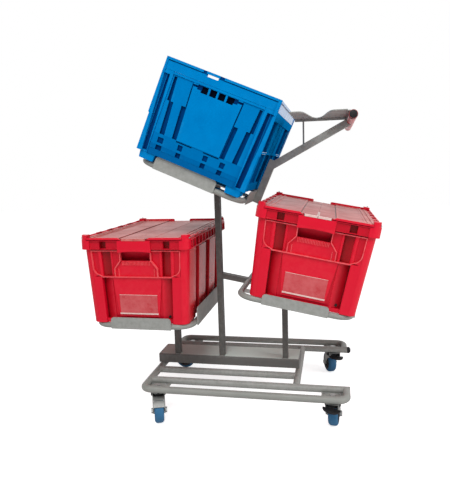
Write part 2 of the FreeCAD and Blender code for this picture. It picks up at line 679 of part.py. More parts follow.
right_of_bar = box(BAR_X - BAR_CAP_D / 2 - SHELF_PLAY, BIG, -BIG, -bar_end + BAR_CAP_L + SHELF_PLAY, 0, BIG)
over_bar = box(BAR_X - BAR_D / 4, BIG, -BIG, BIG, 0, BIG)
export("shelf_plate", shelf.cut(right_of_bar).cut(over_bar).cut(bar_solid))
rail = box(SHELF_LEFT, BAR_X, POST_Y - RAIL_W / 2, POST_Y + RAIL_W / 2, SHELF_Z - RAIL_W, SHELF_Z)
export("shelf_rail", rail.cut(bar_solid).cut(handle_solid))
stay = rod(Vector(STAY_X, POST_Y, arm_start.z), Vector(STAY_X, POST_Y, SHELF_Z - RAIL_W), STAY_D)
stay_foot = stay.cut(handle_solid)
export("shelf_stay_rod", max(stay_foot.Solids, key=lambda solid: solid.CenterOfMass.z))


# Attached-lid crate, in its own frame with the feet at height zero
def grown(pair, margin):
    return (pair[0] + 2 * margin, pair[1] + 2 * margin)


def end_slabs(half, v0, v1):
    return box(-half, half, -BIG, BIG, v0, v1)


def relief_boxes(margin):
    low, high = [CRATE_D / 2 - inset for inset in SIDE_EDGE_GROOVE_IN]
    boxes = [end_slabs(END_COLUMN_U + margin, -1, BIG)]
    boxes.append(box(-BIG, BIG, -SIDE_GROOVE_HALF - margin, SIDE_GROOVE_HALF + margin, -1, BIG))
    boxes.append(box(-BIG, BIG, low - margin, high + margin, -1, BIG))
    boxes.append(box(-BIG, BIG, -high - margin, -low + margin, -1, BIG))
    return boxes


def knuckle_spans(first):
    pitch = KNUCKLE_RUN / KNUCKLES
    spans = []
    for index in range(first, KNUCKLES, 2):
        start = -KNUCKLE_RUN / 2 + index * pitch
        spans.append((start + SIDE_PLAY, start + pitch - SIDE_PLAY))
    return spans


def barrel(side, span):
    start = Vector(side * HINGE_U, span[0], HINGE_V)
    end = Vector(side * HINGE_U, span[1], HINGE_V)
    return rod(start, end, 2 * HINGE_R)


def wire_bore(side, play):
    start = Vector(side * HINGE_U, -CRATE_D / 2, HINGE_V)
    end = Vector(side * HINGE_U, CRATE_D / 2, HINGE_V)
    return rod(start, end, WIRE_D + 2 * play)


def lid_crate_body():
    low = (LID_BASE_W, LID_BASE_D)
    high = (LID_TOP_W, LID_TOP_D)
    r = LID_CORNER_R
    full = tapered(low, high, r, 0, LID_RIM_V)
    core = tapered(grown(low, -LID_RECESS), grown(high, -LID_RECESS), r, 0, LID_RIM_V)
    raised = full
    for slab in relief_boxes(0):
        raised = raised.cut(slab)
    full_in = tapered(grown(low, -LID_WALL), grown(high, -LID_WALL), r, 0, LID_RIM_V)
    core_in = tapered(grown(low, -LID_RECESS - LID_WALL), grown(high, -LID_RECESS - LID_WALL), r, 0, LID_RIM_V)
    hollow = full_in
    for slab in relief_boxes(LID_WALL):
        hollow = hollow.cut(slab)
    under = box(-BIG, BIG, -BIG, BIG, -1, LID_FLOOR)
    cavity = core_in.fuse(hollow).cut(under)
    space = full.cut(core)
    ribs = []
    for v in RIB_V:
        ribs.append(space.common(end_slabs(END_COLUMN_U, v - RIB_T / 2, v + RIB_T / 2)))
    for side in (-1, 1):
        middle = side * (SLOT_HALF + RIB_T)
        ribs.append(space.common(box(middle - RIB_T / 2, middle + RIB_T / 2, -BIG, BIG, RIB_V[0], RIB_V[1])))
    shell = core.fuse(raised).multiFuse(ribs).cut(cavity)
    skirt_low = LID_RIM_V - LID_SKIRT_H
    outer = rounded_block(CRATE_W, CRATE_D, r, skirt_low, LID_RIM_V)
    inner = rounded_block(CRATE_W - 2 * LID_WALL, CRATE_D - 2 * LID_WALL, r - LID_WALL, skirt_low, LID_RIM_V - LID_WALL)
    skirt = outer.cut(inner)
    ends = rounded_block(CRATE_W, CRATE_D, r, LID_RIM_V, LID_CRATE_H)
    ends = ends.cut(box(-BIG, BIG, -CRATE_D / 2 + END_LIP_T, CRATE_D / 2 - END_LIP_T, 0, BIG))
    ends = ends.cut(end_slabs(NOTCH_HALF, 0, BIG))
    knuckles = []
    for side in (-1, 1):
        for span in knuckle_spans(0):
            knuckles.append(barrel(side, span))
            inner_u = side * (HINGE_U - HINGE_R)
            outer_u = side * CRATE_W / 2
            knuckles.append(box(min(inner_u, outer_u), max(inner_u, outer_u), span[0], span[1], LID_RIM_V, HINGE_V))
    body = shell.multiFuse([skirt, ends] + knuckles).cut(full_in.cut(under).common(box(
        -BIG, BIG, -BIG, BIG, skirt_low, BIG)).common(core_in))
    for end in (-1, 1):
        edge = end * CRATE_D / 2
        near = min(edge, edge - end * SLOT_CUT)
        slot = box(-SLOT_HALF, SLOT_HALF, near, near + SLOT_CUT, SLOT_V[0], SLOT_V[1])
        body = body.cut(slot)
    for side in (-1, 1):
        body = body.cut(wire_bore(side, HOLE_PLAY))
    return body


def lid_flap(side):
    low = LID_RIM_V + SEAT
    ends = CRATE_D / 2 - END_LIP_T - 2 * SIDE_PLAY
    seam = SIDE_PLAY
    tip = CRATE_D / 2 - TONGUE_SHORT
    rib = ends - STIFFENER_END
    sheet = box(seam, HINGE_U - LID_EDGE, -ends, ends, low, low + FLAP_T)
    tongue = box(seam, NOTCH_HALF - TONGUE_PLAY, -tip, tip, low, low + FLAP_T)
    stiffener = box(HINGE_U - STIFFENER_IN[0], HINGE_U - STIFFENER_IN[1], -rib, rib, low + FLAP_T, low + 2 * FLAP_T)
    shape = fuse([sheet, tongue, stiffener])
    for span in knuckle_spans(0):
        shape = shape.cut(box(HINGE_U - HINGE_R - LID_EDGE, CRATE_W, span[0] - SIDE_PLAY, span[1] + SIDE_PLAY, 0, BIG))
    barrels = []
    for span in knuckle_spans(1):
        barrels.append(barrel(1, span))
    shape = fuse([shape] + barrels).cut(wire_bore(1, BORE_PLAY))
    if side < 0:
        shape = shape.mirror(Vector(0, 0, 0), Vector(1, 0, 0))
    return shape


def hinge_wire(side):
    reach = CRATE_D / 2 - END_LIP_T - WIRE_SHORT
    return rod(Vector(side * HINGE_U, -reach, HINGE_V), Vector(side * HINGE_U, reach, HINGE_V), WIRE_D)


crate_body = lid_crate_body()
for name, place in (("left", LEFT_PLACE), ("right", RIGHT_PLACE)):
    lifted = place.multiply(Placement(Vector(0, 0, SEAT), Rotation()))
    export(name + "_crate_body", placed(crate_body, lifted))
    export(name + "_crate_left_lid", placed(lid_flap(-1), lifted))
    export(name + "_crate_right_lid", placed(lid_flap(1), lifted))
    export(name + "_crate_hinge_wires", [placed(hinge_wire(-1), lifted), placed(hinge_wire(1), lifted)])

# Folding crate, in its own frame with the feet at height zero
fold_low = FOLD_FOOT_H
fold_rim_low = FOLD_H - FOLD_RIM_H
fold_half_w = CRATE_W / 2 - FOLD_INSET
fold_half_d = CRATE_D / 2 - FOLD_INSET
panel_half = fold_half_w - FOLD_COLUMN
panel_y = fold_half_d - PANEL_T
panel_top = fold_rim_low - PANEL_BARREL_R - 2 * SEAT
panel_low = fold_low + FOLD_FLOOR + FOLD_SILL_H


def folding_body():
    block_all = rounded_block(2 * fold_half_w, 2 * fold_half_d, FOLD_CORNER, fold_low, fold_rim_low)
    cavity = box(-fold_half_w + FOLD_WALL, fold_half_w - FOLD_WALL, -panel_y + PANEL_T, panel_y - PANEL_T,
                 fold_low + FOLD_FLOOR, BIG)
    doorway = end_slabs(panel_half, panel_low - SIDE_PLAY, BIG)
    shape = block_all.cut(cavity).cut(doorway)
    corner_inner = box(-fold_half_w + FOLD_WALL, fold_half_w - FOLD_WALL, -fold_half_d + FOLD_WALL,
                       fold_half_d - FOLD_WALL, panel_low, BIG)
    post_keep = end_slabs(panel_half + FOLD_WALL * 2, 0, BIG)
    shape = shape.cut(corner_inner.cut(post_keep))
    feet = []
    for su in (-1, 1):
        for sy in (-1, 1):
            foot = box(min(su * FOOT_IN, su * FOOT_OUT), max(su * FOOT_IN, su * FOOT_OUT),
                       min(sy * FOOT_Y_IN, sy * FOOT_Y_OUT), max(sy * FOOT_Y_IN, sy * FOOT_Y_OUT), 0, fold_low)
            feet.append(foot)
    shape = shape.multiFuse(feet)
    for sy in (-1, 1):
        pin = rod(Vector(-fold_half_w + FOLD_WALL, sy * (panel_y + PANEL_T / 2), panel_top),
                  Vector(fold_half_w - FOLD_WALL, sy * (panel_y + PANEL_T / 2), panel_top), PANEL_PIN_D + 2 * BORE_PLAY)
        shape = shape.cut(pin)
    return shape


def folding_rim():
    outer = rounded_block(CRATE_W, CRATE_D, FOLD_CORNER + FOLD_INSET, fold_rim_low, FOLD_H)
    inner = rounded_block(CRATE_W - 2 * FOLD_RIM_T, CRATE_D - 2 * FOLD_RIM_T, FOLD_CORNER - 2, fold_rim_low, FOLD_H)
    slot = end_slabs(GRIP_PITCH, FOLD_H - RIM_SLOT[0], FOLD_H - RIM_SLOT[1])
    return outer.cut(inner).cut(slot)


def end_panel(end):
    half = panel_half - SIDE_PLAY
    middle = panel_y + PANEL_T / 2
    sheet = box(-half, half, panel_y, panel_y + PANEL_T, panel_low, panel_top)
    hub = rod(Vector(-half, middle, panel_top), Vector(half, middle, panel_top), 2 * PANEL_BARREL_R)
    stub = panel_half + FOLD_WALL
    pins = rod(Vector(-stub, middle, panel_top), Vector(stub, middle, panel_top), PANEL_PIN_D)
    shape = fuse([sheet, hub, pins])
    for step in range(4):
        u = (step - 1.5) * GRIP_PITCH
        top = panel_top - 2 * PANEL_BARREL_R
        shape = shape.cut(box(u - GRIP_HOLE / 2, u + GRIP_HOLE / 2, 0, BIG, top - GRIP_HOLE, top))
    if end < 0:
        shape = shape.mirror(Vector(0, 0, 0), Vector(0, 1, 0))
    return shape


upper_lift = UPPER_PLACE.multiply(Placement(Vector(0, 0, SEAT), Rotation()))
export("upper_crate_body", placed(folding_body(), upper_lift))
export("upper_crate_rim", placed(folding_rim(), upper_lift))
export("upper_crate_front_wall", placed(end_panel(-1), upper_lift))
export("upper_crate_back_wall", placed(end_panel(1), upper_lift))
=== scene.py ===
import json
import math
import bmesh
import bpy
from mathutils import Matrix, Vector


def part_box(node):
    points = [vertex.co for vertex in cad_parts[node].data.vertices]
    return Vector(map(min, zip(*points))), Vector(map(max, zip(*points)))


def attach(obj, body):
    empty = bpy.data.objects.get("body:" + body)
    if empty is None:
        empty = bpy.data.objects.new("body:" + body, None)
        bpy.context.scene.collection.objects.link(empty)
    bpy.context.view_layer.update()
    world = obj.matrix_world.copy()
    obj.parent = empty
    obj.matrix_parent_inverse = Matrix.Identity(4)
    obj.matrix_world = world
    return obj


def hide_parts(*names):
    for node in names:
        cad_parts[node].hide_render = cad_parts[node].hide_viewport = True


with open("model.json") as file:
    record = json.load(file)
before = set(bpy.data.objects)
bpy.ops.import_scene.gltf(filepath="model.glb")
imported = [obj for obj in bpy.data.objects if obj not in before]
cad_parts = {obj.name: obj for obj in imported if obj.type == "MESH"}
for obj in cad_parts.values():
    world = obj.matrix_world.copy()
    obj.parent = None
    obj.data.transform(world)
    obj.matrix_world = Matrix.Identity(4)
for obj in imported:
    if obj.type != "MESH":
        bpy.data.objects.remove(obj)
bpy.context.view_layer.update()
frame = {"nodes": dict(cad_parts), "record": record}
nodes = frame["nodes"]

# Lengths are in millimetres until a piece is put in its place
MM = 0.001
STANDING = Matrix.Scale(MM, 4)
BOTH = (1, -1)
CORNERS = [(su, sy) for su in BOTH for sy in BOTH]

# Where each crate stands: x, z and tilt about the cross axis
PLACES = {"left": (-310.0, 365.0, 0.0), "right": (254.984, 442.0, 11.0), "upper": (-110.551, 874.738, 23.7)}
SEAT = 0.3

# Attached-lid crate in its own frame: u across, y along, v up
RIM_HALF_W = 200.0
RIM_HALF_D = 300.0
RIM_LOW = 267.0
RIM_V = 302.0
WALL_HALF_W = 192.0
WALL_HALF_D = 292.0
WALL_TOP = 298.0
BASE_SHARE_W = 353.0 / 384.0
BASE_SHARE_D = 553.0 / 584.0
CORNER_R = 26.0
CORNER_TOP = 318.0
CORNER_BLOCK_U = 196.5
CORNER_BLOCK_R = 22.0
LIP_TOP = 308.5
FAR_LIP_TOP = 313.5

# Its end walls: edges across, edges up, and depths behind the face
HAND_U = 55.0
BAND_U = 59.0
THICK_U = 88.0
CHANNEL_IN = 96.0
POCKET_U = 128.0
CHANNEL_OUT = 134.0
POST_U = 163.0
END_U = 167.0
SKIRT_TOP = 14.0
BELT_LOW = 166.5
BELT_TOP = 169.5
HAND_LOW = 226.0
HAND_TOP = 258.0
BAND_LOW = 260.5
BAND_TOP = 263.5
POCKET_DEEP = 6.0
SKIRT_DEEP = 7.0
HEAD_DEEP = 8.0
PANEL_DEEP = 9.0
CHANNEL_DEEP = 24.0
PANEL_BACK = 13.0
CHANNEL_BACK = CHANNEL_DEEP + 3.0
SLOPE_IN = 95.0
SLOPE_OUT = 131.5
SLOPE_BACK = 26.0
RIB_W = 3.0
RIB_OUT = 1.6
RIB_BACK = 9.0
COMB_V = 217.0

# Its long walls
SIDE_MID = 32.0
SIDE_IN = 134.0
SIDE_OUT = 184.0
SIDE_END = 266.5
SIDE_EDGE = 256.0
SIDE_TOP = 262.0
SIDE_HEAD = 4.0
SIDE_PANEL = 5.0
SIDE_CHANNEL = 17.0
SIDE_BACK = 20.0

# Its rim
NOTCH_U = 45.0
ARCH_U = 60.0
RIM_THICK_U = 90.0
RIM_CHANNEL_U = 104.0
RIM_END_U = 174.5
RIM_UNDER = 270.0
RIM_BEAD = 297.0
RIM_UNDER_DEEP = 3.0
RIM_POCKET_DEEP = 5.0
RIM_PANEL_DEEP = 6.0
RIM_CHANNEL_DEEP = 22.0
RIM_BACK = 11.0
RIM_SIDE_END = 274.5
RIM_SIDE_UNDER = 271.0
RIM_SIDE_PANEL = 5.0
RIM_SIDE_POCKET = 10.0
RIM_SIDE_BACK = 12.5
RIM_RIB_HALF = 3.0
RIM_RIBS = [12.5 + 45.0 * step for step in range(-6, 6)]

# Its lids and their hinges
HINGE_U = 197.0
HINGE_V = 307.0
HINGE_R = 3.0
KNUCKLES = 11
KNUCKLE_RUN = 550.0
RIDGE_U = 195.3
RIDGE_TOP = 311.4
LID_IN = 0.3
FAR_TONGUE_U = 34.0
TONGUE_U = 43.0
STRIP_U = 54.0
GROOVE_U = 57.5
FIELD_IN = 66.0
FIELD_OUT = 146.0
LID_RIDGES = ((154.0, 160.0), (170.0, 177.0))
LID_NOTCH_U = 164.0
LID_OUT = 184.0
LID_NOTCH_Y = 268.0
LID_END_Y = 290.2
TONGUE_END_Y = 299.0
LID_LOW = 302.4
GROOVE_TOP = LID_LOW + 0.8
STRIP_TOP = 304.4
LID_TOP = 306.5
FIELD_TOP = LID_TOP - 0.9
LID_RIDGE_TOP = LID_TOP + 2.2

# Folding crate in its own frame
FOLD_HALF_W = 197.0
FOLD_HALF_D = 297.0
FOLD_RIM_LOW = 297.0
FOLD_TOP = 335.0
FOOT_TOP = 24.0
POST_BACK_D = 281.0
COLUMN_IN = 159.3

# Its swinging end walls: edges across, edges up, and depths behind the face
PANEL_HALF = 158.7
GRIP_PITCH = 28.0
GRIP_HOLE = 22.0
GRIP_MIDDLES = [(step - 1.5) * GRIP_PITCH for step in range(4)]
NICK_MIDDLES = (-134.0, -60.0, 36.0, 100.0)
NICK_HALF = 9.0
SLIT_IN = 22.0
LATCH_IN = 53.0
LATCH_OUT = 66.0
SHIELD_U = 80.0
GAP_U = 84.0
LOW_SLOTS = ((GAP_U, 98.0), (127.0, 143.0))
HIGH_SLOTS = ((137.0, 152.0),)
PANEL_LOW = 44.3
SILL_TOP = 60.0
NICK_LOW = 68.0
NICK_TOP = 86.0
SLIT_LOW = 91.0
SLIT_TOP = 94.5
FIELD_LOW = 97.0
SLOT_SPLIT = 206.0
GRIP_LOW = 265.5
LATCH_LOW = 272.0
PIN_LOW = 277.0
SLOT_TOP = 284.0
GRIP_TOP = GRIP_LOW + GRIP_HOLE
HEAD_LOW = 289.0
PANEL_TOP = 296.4
HEAD_FACE = 0.5
SHIELD_FACE = 2.0
FIELD_FACE = 4.0
BAND_FACE = 4.3
SILL_FACE = 4.6
GAP_DEEP = 8.0
NICK_DEEP = 10.0
SLOT_DEEP = 13.0
HEAD_BACK = 4.5
FOLD_PANEL_BACK = 16.0

# Its long walls and its rim
FOLD_POST_Y = 278.0
FOLD_SIDE_END = 290.0
HIGH_BAYS = ((40.0, 62.0), (134.0, 262.0))
LOW_BAY_RIBS = ((-8.0, 8.0), (118.0, 134.0))
FOLD_SKIRT_TOP = 52.0
FOLD_BEAM_LOW = 158.0
FOLD_BEAM_TOP = 166.0
BAY_TOP = 270.0
FOLD_SKIRT_DEEP = 3.0
BAY_RIB_DEEP = 4.0
LOW_BAY_DEEP = 12.0
HIGH_BAY_DEEP = 14.0
FOLD_SIDE_BACK = 17.0
RIM_SLOT = (-52.0, -14.0)
RIM_NICKS = ((-68.0, -56.0), (-10.0, 6.0))
FOLD_RIM_END_U = 192.0
FOLD_RIM_END_Y = 292.0
RIM_SLOT_LOW = 319.0
RIM_GROOVE_LOW = 324.0
RIM_GROOVE_TOP = 327.0
RIM_SKIRT_DEEP = 2.4
RIM_GROOVE_DEEP = 4.6
RIM_NICK_DEEP = 5.0
FOLD_RIM_BACK = 7.5

# Castors: x, y, turn, braked
CASTORS = {
    "front_left": (-268.0, -241.5, -70.0, False),
    "front_right": (357.0, -241.5, 84.0, True),
    "rear_left": (-268.0, 241.5, 180.0, False),
    "rear_right": (357.0, 241.5, 110.0, True),
}
WHEEL_R = 44.0
TREAD_W = 34.0
CORE_R = 35.0
SPOKES = 8
TRAIL = 36.0
WHEEL_CENTRE = (TRAIL, 0.0, WHEEL_R)
FORK_HALF = 19.5
FORK_T = 3.0
FORK_TOP = 104.7
PEDAL_PIN_X = -29.0
PEDAL_Z = 92.0
PEDAL_TILT = -5.0
PEDAL_DROOP = 8.0

# Base frame
BEAM_WALL = 3.0
BEAM_FOLD_R = 3.0
TOP_SHEET_STEP = 0.6
POST_DEPTH = 30.0
PLATE_TOP = 118.0
BOLT_X = 25.0
BOLT_Y = 20.0
WELD_PITCH = 2.4
WELD_R = 1.7

# Floor
FLOOR_HALF = 9000.0
FLOOR_LOW = -20.0
FLOOR_TOP = -0.4
FLOOR_GLOW = 0.7

# Light and camera, in metres and radians
ROOM_LIGHT = 0.36
CAMERA_SPOT = (0.3578, -1.9329, 0.90045)
YAW = 0.2089
PITCH = 0.1404
ROLL = 0.0316
FOCAL_PIXELS = 513.4
IMAGE_HEIGHT = 481.0
SENSOR_HEIGHT = 36.0


# Node helpers; labels are given in lower case with underscores
def set_inputs(node, **values):
    for label, value in values.items():
        node.inputs[label.replace("_", " ").title()].default_value = value
    return node


def new_node(tree, kind, **values):
    return set_inputs(tree.nodes.new(kind), **values)


def link(tree, source, output, target, field):
    tree.links.new(source.outputs[output], target.inputs[field])


# Shader groups
def shader_group(name, inputs, outputs):
    group = bpy.data.node_groups.new(name, "ShaderNodeTree")
    for label, value in inputs:
        socket = group.interface.new_socket(label, in_out="INPUT", socket_type="NodeSocketFloat")
        socket.default_value = value
    for label in outputs:
        group.interface.new_socket(label, in_out="OUTPUT", socket_type="NodeSocketFloat")
    start = group.nodes.new("NodeGroupInput")
    end = group.nodes.new("NodeGroupOutput")
    place = group.nodes.new("ShaderNodeTexCoord").outputs["Object"]
    return group, start, end, place


def noise(group, place, scale, detail, stretch=(1.0, 1.0, 1.0)):
    turn = new_node(group, "ShaderNodeMapping", scale=stretch)
    group.links.new(place, turn.inputs["Vector"])
    texture = new_node(group, "ShaderNodeTexNoise", detail=detail, roughness=0.6)
    link(group, turn, "Vector", texture, "Vector")
    if isinstance(scale, float):
        texture.inputs["Scale"].default_value = scale
    else:
        group.links.new(scale, texture.inputs["Scale"])
    return texture.outputs["Fac"]


def ramp(group, value, low, high):
    node = new_node(group, "ShaderNodeMapRange", from_min=low, from_max=high)
    group.links.new(value, node.inputs["Value"])
    return node.outputs["Result"]


def combined(group, operation, *values):
    node = group.nodes.new("ShaderNodeMath")
    node.operation = operation
    for value, field in zip(values, node.inputs):
        group.links.new(value, field)
    return node.outputs["Value"]


def make_moulded_grain():
    inputs = [("Grain Scale", 900.0), ("Mottle Scale", 14.0)]
    group, start, end, place = shader_group("moulded_grain", inputs, ["Height", "Mottle"])
    grain = noise(group, place, start.outputs["Grain Scale"], 2.0)
    group.links.new(grain, end.inputs["Height"])
    mottle = noise(group, place, start.outputs["Mottle Scale"], 4.0)
    group.links.new(ramp(group, mottle, 0.3, 0.7), end.inputs["Mottle"])
    return group


def make_scuffs():
    group, start, end, place = shader_group("scuffs", [("Scale", 60.0), ("Amount", 0.5)], ["Mask"])
    across = noise(group, place, start.outputs["Scale"], 5.0, (1.0, 1.0, 9.0))
    along = noise(group, place, start.outputs["Scale"], 5.0, (9.0, 6.0, 1.0))
    patches = ramp(group, noise(group, place, 9.0, 3.0), 0.45, 0.7)
    lines = combined(group, "MAXIMUM", ramp(group, across, 0.62, 0.74), ramp(group, along, 0.64, 0.76))
    worn = combined(group, "MULTIPLY", lines, patches)
    group.links.new(combined(group, "MULTIPLY", worn, start.outputs["Amount"]), end.inputs["Mask"])
    return group


def make_edge_rub():
    group, start, end, place = shader_group("edge_rub", [("Amount", 0.5)], ["Mask"])
    sharp = group.nodes.new("ShaderNodeNewGeometry").outputs["Pointiness"]
    edge = ramp(group, sharp, 0.52, 0.62)
    broken = ramp(group, noise(group, place, 70.0, 4.0), 0.35, 0.65)
    worn = combined(group, "MULTIPLY", edge, broken)
    group.links.new(combined(group, "MULTIPLY", worn, start.outputs["Amount"]), end.inputs["Mask"])
    return group


GRAIN = make_moulded_grain()
SCUFFS = make_scuffs()
EDGE_RUB = make_edge_rub()


def placed_group(tree, group, **values):
    node = tree.nodes.new("ShaderNodeGroup")
    node.node_tree = group
    return set_inputs(node, **values)


def tinted(tree, factor, first, second):
    node = tree.nodes.new("ShaderNodeMix")
    node.data_type = "RGBA"
    tree.links.new(factor, node.inputs["Factor"])
    for key, colour in ((6, first), (7, second)):
        if isinstance(colour, tuple):
            node.inputs[key].default_value = (*colour, 1.0)
        else:
            tree.links.new(colour, node.inputs[key])
    return node.outputs[2]


# Mottle mixes base and shade, worn shows in scuffs and on edges, and deep is painted shade mixed into marked
# hollows
def finish_material(name, base, shade, worn, rough, scuffs, grain=1100.0, bump=0.12,
                    metallic=0.0, shine=0.5, mottle=14.0, rub=0.5, deep=None):
    material = bpy.data.materials.new(name)
    material.use_nodes = True
    tree = material.node_tree
    shader = tree.nodes["Principled BSDF"]
    shader.inputs["Metallic"].default_value = metallic
    shader.inputs["Specular IOR Level"].default_value = shine
    skin = placed_group(tree, GRAIN, grain_scale=grain, mottle_scale=mottle)
    marks = placed_group(tree, SCUFFS, scale=45.0, amount=scuffs)
    edges = placed_group(tree, EDGE_RUB, amount=rub)
    colour = tinted(tree, skin.outputs["Mottle"], base, shade)
    colour = tinted(tree, marks.outputs["Mask"], colour, worn)
    colour = tinted(tree, edges.outputs["Mask"], colour, worn)
    # Painted shade: points marked as lying in shade are darkened towards the deep colour
    if deep:
        painted_shade_mask = tree.nodes.new("ShaderNodeAttribute")
        painted_shade_mask.attribute_name = "painted_shade"
        colour = tinted(tree, painted_shade_mask.outputs["Fac"], colour, deep)
    tree.links.new(colour, shader.inputs["Base Color"])
    spread = new_node(tree, "ShaderNodeMapRange", to_min=rough - 0.05, to_max=rough + 0.09)
    link(tree, skin, "Mottle", spread, "Value")
    link(tree, spread, "Result", shader, "Roughness")
    bumps = new_node(tree, "ShaderNodeBump", strength=bump, distance=0.0006)
    link(tree, skin, "Height", bumps, "Height")
    link(tree, bumps, "Normal", shader, "Normal")
    return material


# Finishes; a deep colour is painted shade for marked hollows
CRATE_RED = finish_material(
    "crate_red_plastic", base=(0.69, 0.003, 0.026), shade=(0.66, 0.003, 0.022), worn=(0.74, 0.045, 0.06),
    rough=0.32, scuffs=0.14, rub=0.45, shine=0.2, deep=(0.26, 0.001, 0.004))
# The long sides take a lighter, glossier copy of the crate red: painted light standing in for the glare on
# them
SIDE_RED = finish_material(
    "crate_red_side_plastic", base=(0.74, 0.014, 0.028), shade=(0.70, 0.012, 0.024), worn=(0.78, 0.12, 0.12),
    rough=0.2, bump=0.06, scuffs=0.3, rub=0.45, shine=0.8, deep=(0.30, 0.002, 0.006))
# A lighter red for the ribs and the grip comb: painted highlight on their edges, with wear
RIB_HIGHLIGHT_RED = finish_material(
    "crate_red_rib_highlight_and_wear", base=(0.80, 0.065, 0.085), shade=(0.76, 0.045, 0.06), worn=(0.82, 0.20, 0.21),
    rough=0.34, scuffs=0.6, shine=0.25)
CRATE_BLUE = finish_material(
    "crate_blue_plastic", base=(0.0, 0.205, 0.54), shade=(0.0, 0.175, 0.48), worn=(0.02, 0.28, 0.58),
    rough=0.40, scuffs=0.25, rub=0.35, shine=0.0, deep=(0.0, 0.045, 0.19))
# A lighter, glossier copy of the crate blue for the rim's long sides: painted light for the glare on them
RIM_BLUE = finish_material(
    "crate_blue_rim_painted_light", base=(0.02, 0.23, 0.62), shade=(0.04, 0.26, 0.62), worn=(0.30, 0.46, 0.68),
    rough=0.14, bump=0.08, scuffs=0.5, shine=0.8, deep=(0.0, 0.06, 0.22))
# A lighter blue for the ledges and edges of the long sides: painted highlight, with wear
EDGE_HIGHLIGHT_BLUE = finish_material(
    "crate_blue_edge_highlight_and_wear", base=(0.16, 0.40, 0.68), shade=(0.10, 0.34, 0.64), worn=(0.45, 0.60, 0.76),
    rough=0.30, bump=0.08, scuffs=0.6)
# A dark copy of the crate blue for the column cores: painted shade
SHADE_BLUE = finish_material(
    "crate_blue_painted_shade", base=(0.0, 0.045, 0.19), shade=(0.0, 0.035, 0.16), worn=(0.0, 0.08, 0.28),
    rough=0.50, scuffs=0.2, rub=0.2, shine=0.02)
SLOT_BLACK = finish_material(
    "grip_hole_shade", base=(0.001, 0.003, 0.012), shade=(0.002, 0.004, 0.014), worn=(0.002, 0.008, 0.03),
    rough=0.60, scuffs=0.1, rub=0.1, shine=0.02)
FRAME_PAINT = finish_material(
    "frame_grey_paint", base=(0.28, 0.285, 0.265), shade=(0.25, 0.255, 0.237), worn=(0.38, 0.38, 0.37),
    rough=0.42, grain=700.0, bump=0.10, scuffs=0.3, mottle=22.0, shine=0.25)
# A darker copy of the frame grey for the posts and the tray arm: painted shade
POST_SHADED_PAINT = finish_material(
    "post_grey_painted_shade", base=(0.105, 0.101, 0.094), shade=(0.088, 0.085, 0.079), worn=(0.17, 0.165, 0.155),
    rough=0.42, grain=700.0, bump=0.10, scuffs=0.3, mottle=22.0, shine=0.25)
ZINC = finish_material(
    "zinc_plate", base=(0.42, 0.43, 0.42), shade=(0.35, 0.36, 0.36), worn=(0.55, 0.55, 0.55),
    rough=0.34, grain=500.0, scuffs=0.4, metallic=0.7, mottle=60.0, rub=0.3)
FORK_STEEL = finish_material(
    "fork_pressed_steel", base=(0.27, 0.275, 0.265), shade=(0.22, 0.225, 0.22), worn=(0.42, 0.42, 0.41),
    rough=0.40, grain=500.0, scuffs=0.5, metallic=0.25, mottle=60.0, rub=0.4, shine=0.4)
# A darker grey for the beam's sides: painted shade
BEAM_SHADED_PAINT = finish_material(
    "beam_side_painted_shade", base=(0.16, 0.155, 0.147), shade=(0.14, 0.135, 0.128), worn=(0.24, 0.235, 0.225),
    rough=0.5, grain=700.0, bump=0.2, scuffs=0.45, mottle=8.0, rub=0.4, shine=0.3)
# A pale grey for the beam's top: painted light from above
BEAM_LIT_PAINT = finish_material(
    "beam_top_painted_light", base=(0.60, 0.68, 0.63), shade=(0.54, 0.61, 0.565), worn=(0.68, 0.72, 0.68),
    rough=0.6, grain=700.0, bump=0.2, scuffs=0.4, mottle=7.0, rub=0.3, shine=0.3)
BLACK_PLASTIC = finish_material(
    "black_plastic", base=(0.008, 0.007, 0.009), shade=(0.012, 0.011, 0.013), worn=(0.05, 0.05, 0.05),
    rough=0.45, grain=1300.0, bump=0.2, scuffs=0.3, rub=0.4, shine=0.2)
HANDLE_RED = finish_material(
    "handle_red_paint", base=(0.62, 0.07, 0.075), shade=(0.56, 0.06, 0.065), worn=(0.70, 0.34, 0.32),
    rough=0.28, grain=600.0, bump=0.06, scuffs=0.35, rub=0.4, shine=0.4)
WHEEL_GREY = finish_material(
    "wheel_grey_plastic", base=(0.020, 0.021, 0.024), shade=(0.030, 0.031, 0.034), worn=(0.10, 0.10, 0.10),
    rough=0.45, grain=1200.0, bump=0.2, scuffs=0.3)
TREAD_BLUE = finish_material(
    "tread_blue_rubber", base=(0.020, 0.115, 0.24), shade=(0.030, 0.14, 0.28), worn=(0.14, 0.22, 0.32),
    rough=0.55, grain=1400.0, bump=0.25, scuffs=0.6, mottle=35.0, shine=0.3)
LID_RED = finish_material(
    "crate_lid_plastic", base=(0.62, 0.115, 0.10), shade=(0.42, 0.075, 0.066), worn=(0.80, 0.48, 0.43),
    rough=0.36, grain=1000.0, scuffs=0.6, mottle=10.0, shine=0.3, deep=(0.16, 0.03, 0.028))
CARD_FILM = finish_material(
    "card_film", base=(0.50, 0.04, 0.05), shade=(0.58, 0.09, 0.10), worn=(0.66, 0.20, 0.20),
    rough=0.30, grain=900.0, bump=0.05, scuffs=0.35, mottle=24.0, shine=0.25)
FILM_EDGE = finish_material(
    "film_edge", base=(0.74, 0.52, 0.48), shade=(0.66, 0.42, 0.39), worn=(0.84, 0.72, 0.68),
    rough=0.3, grain=900.0, bump=0.05, scuffs=0.3, mottle=60.0)
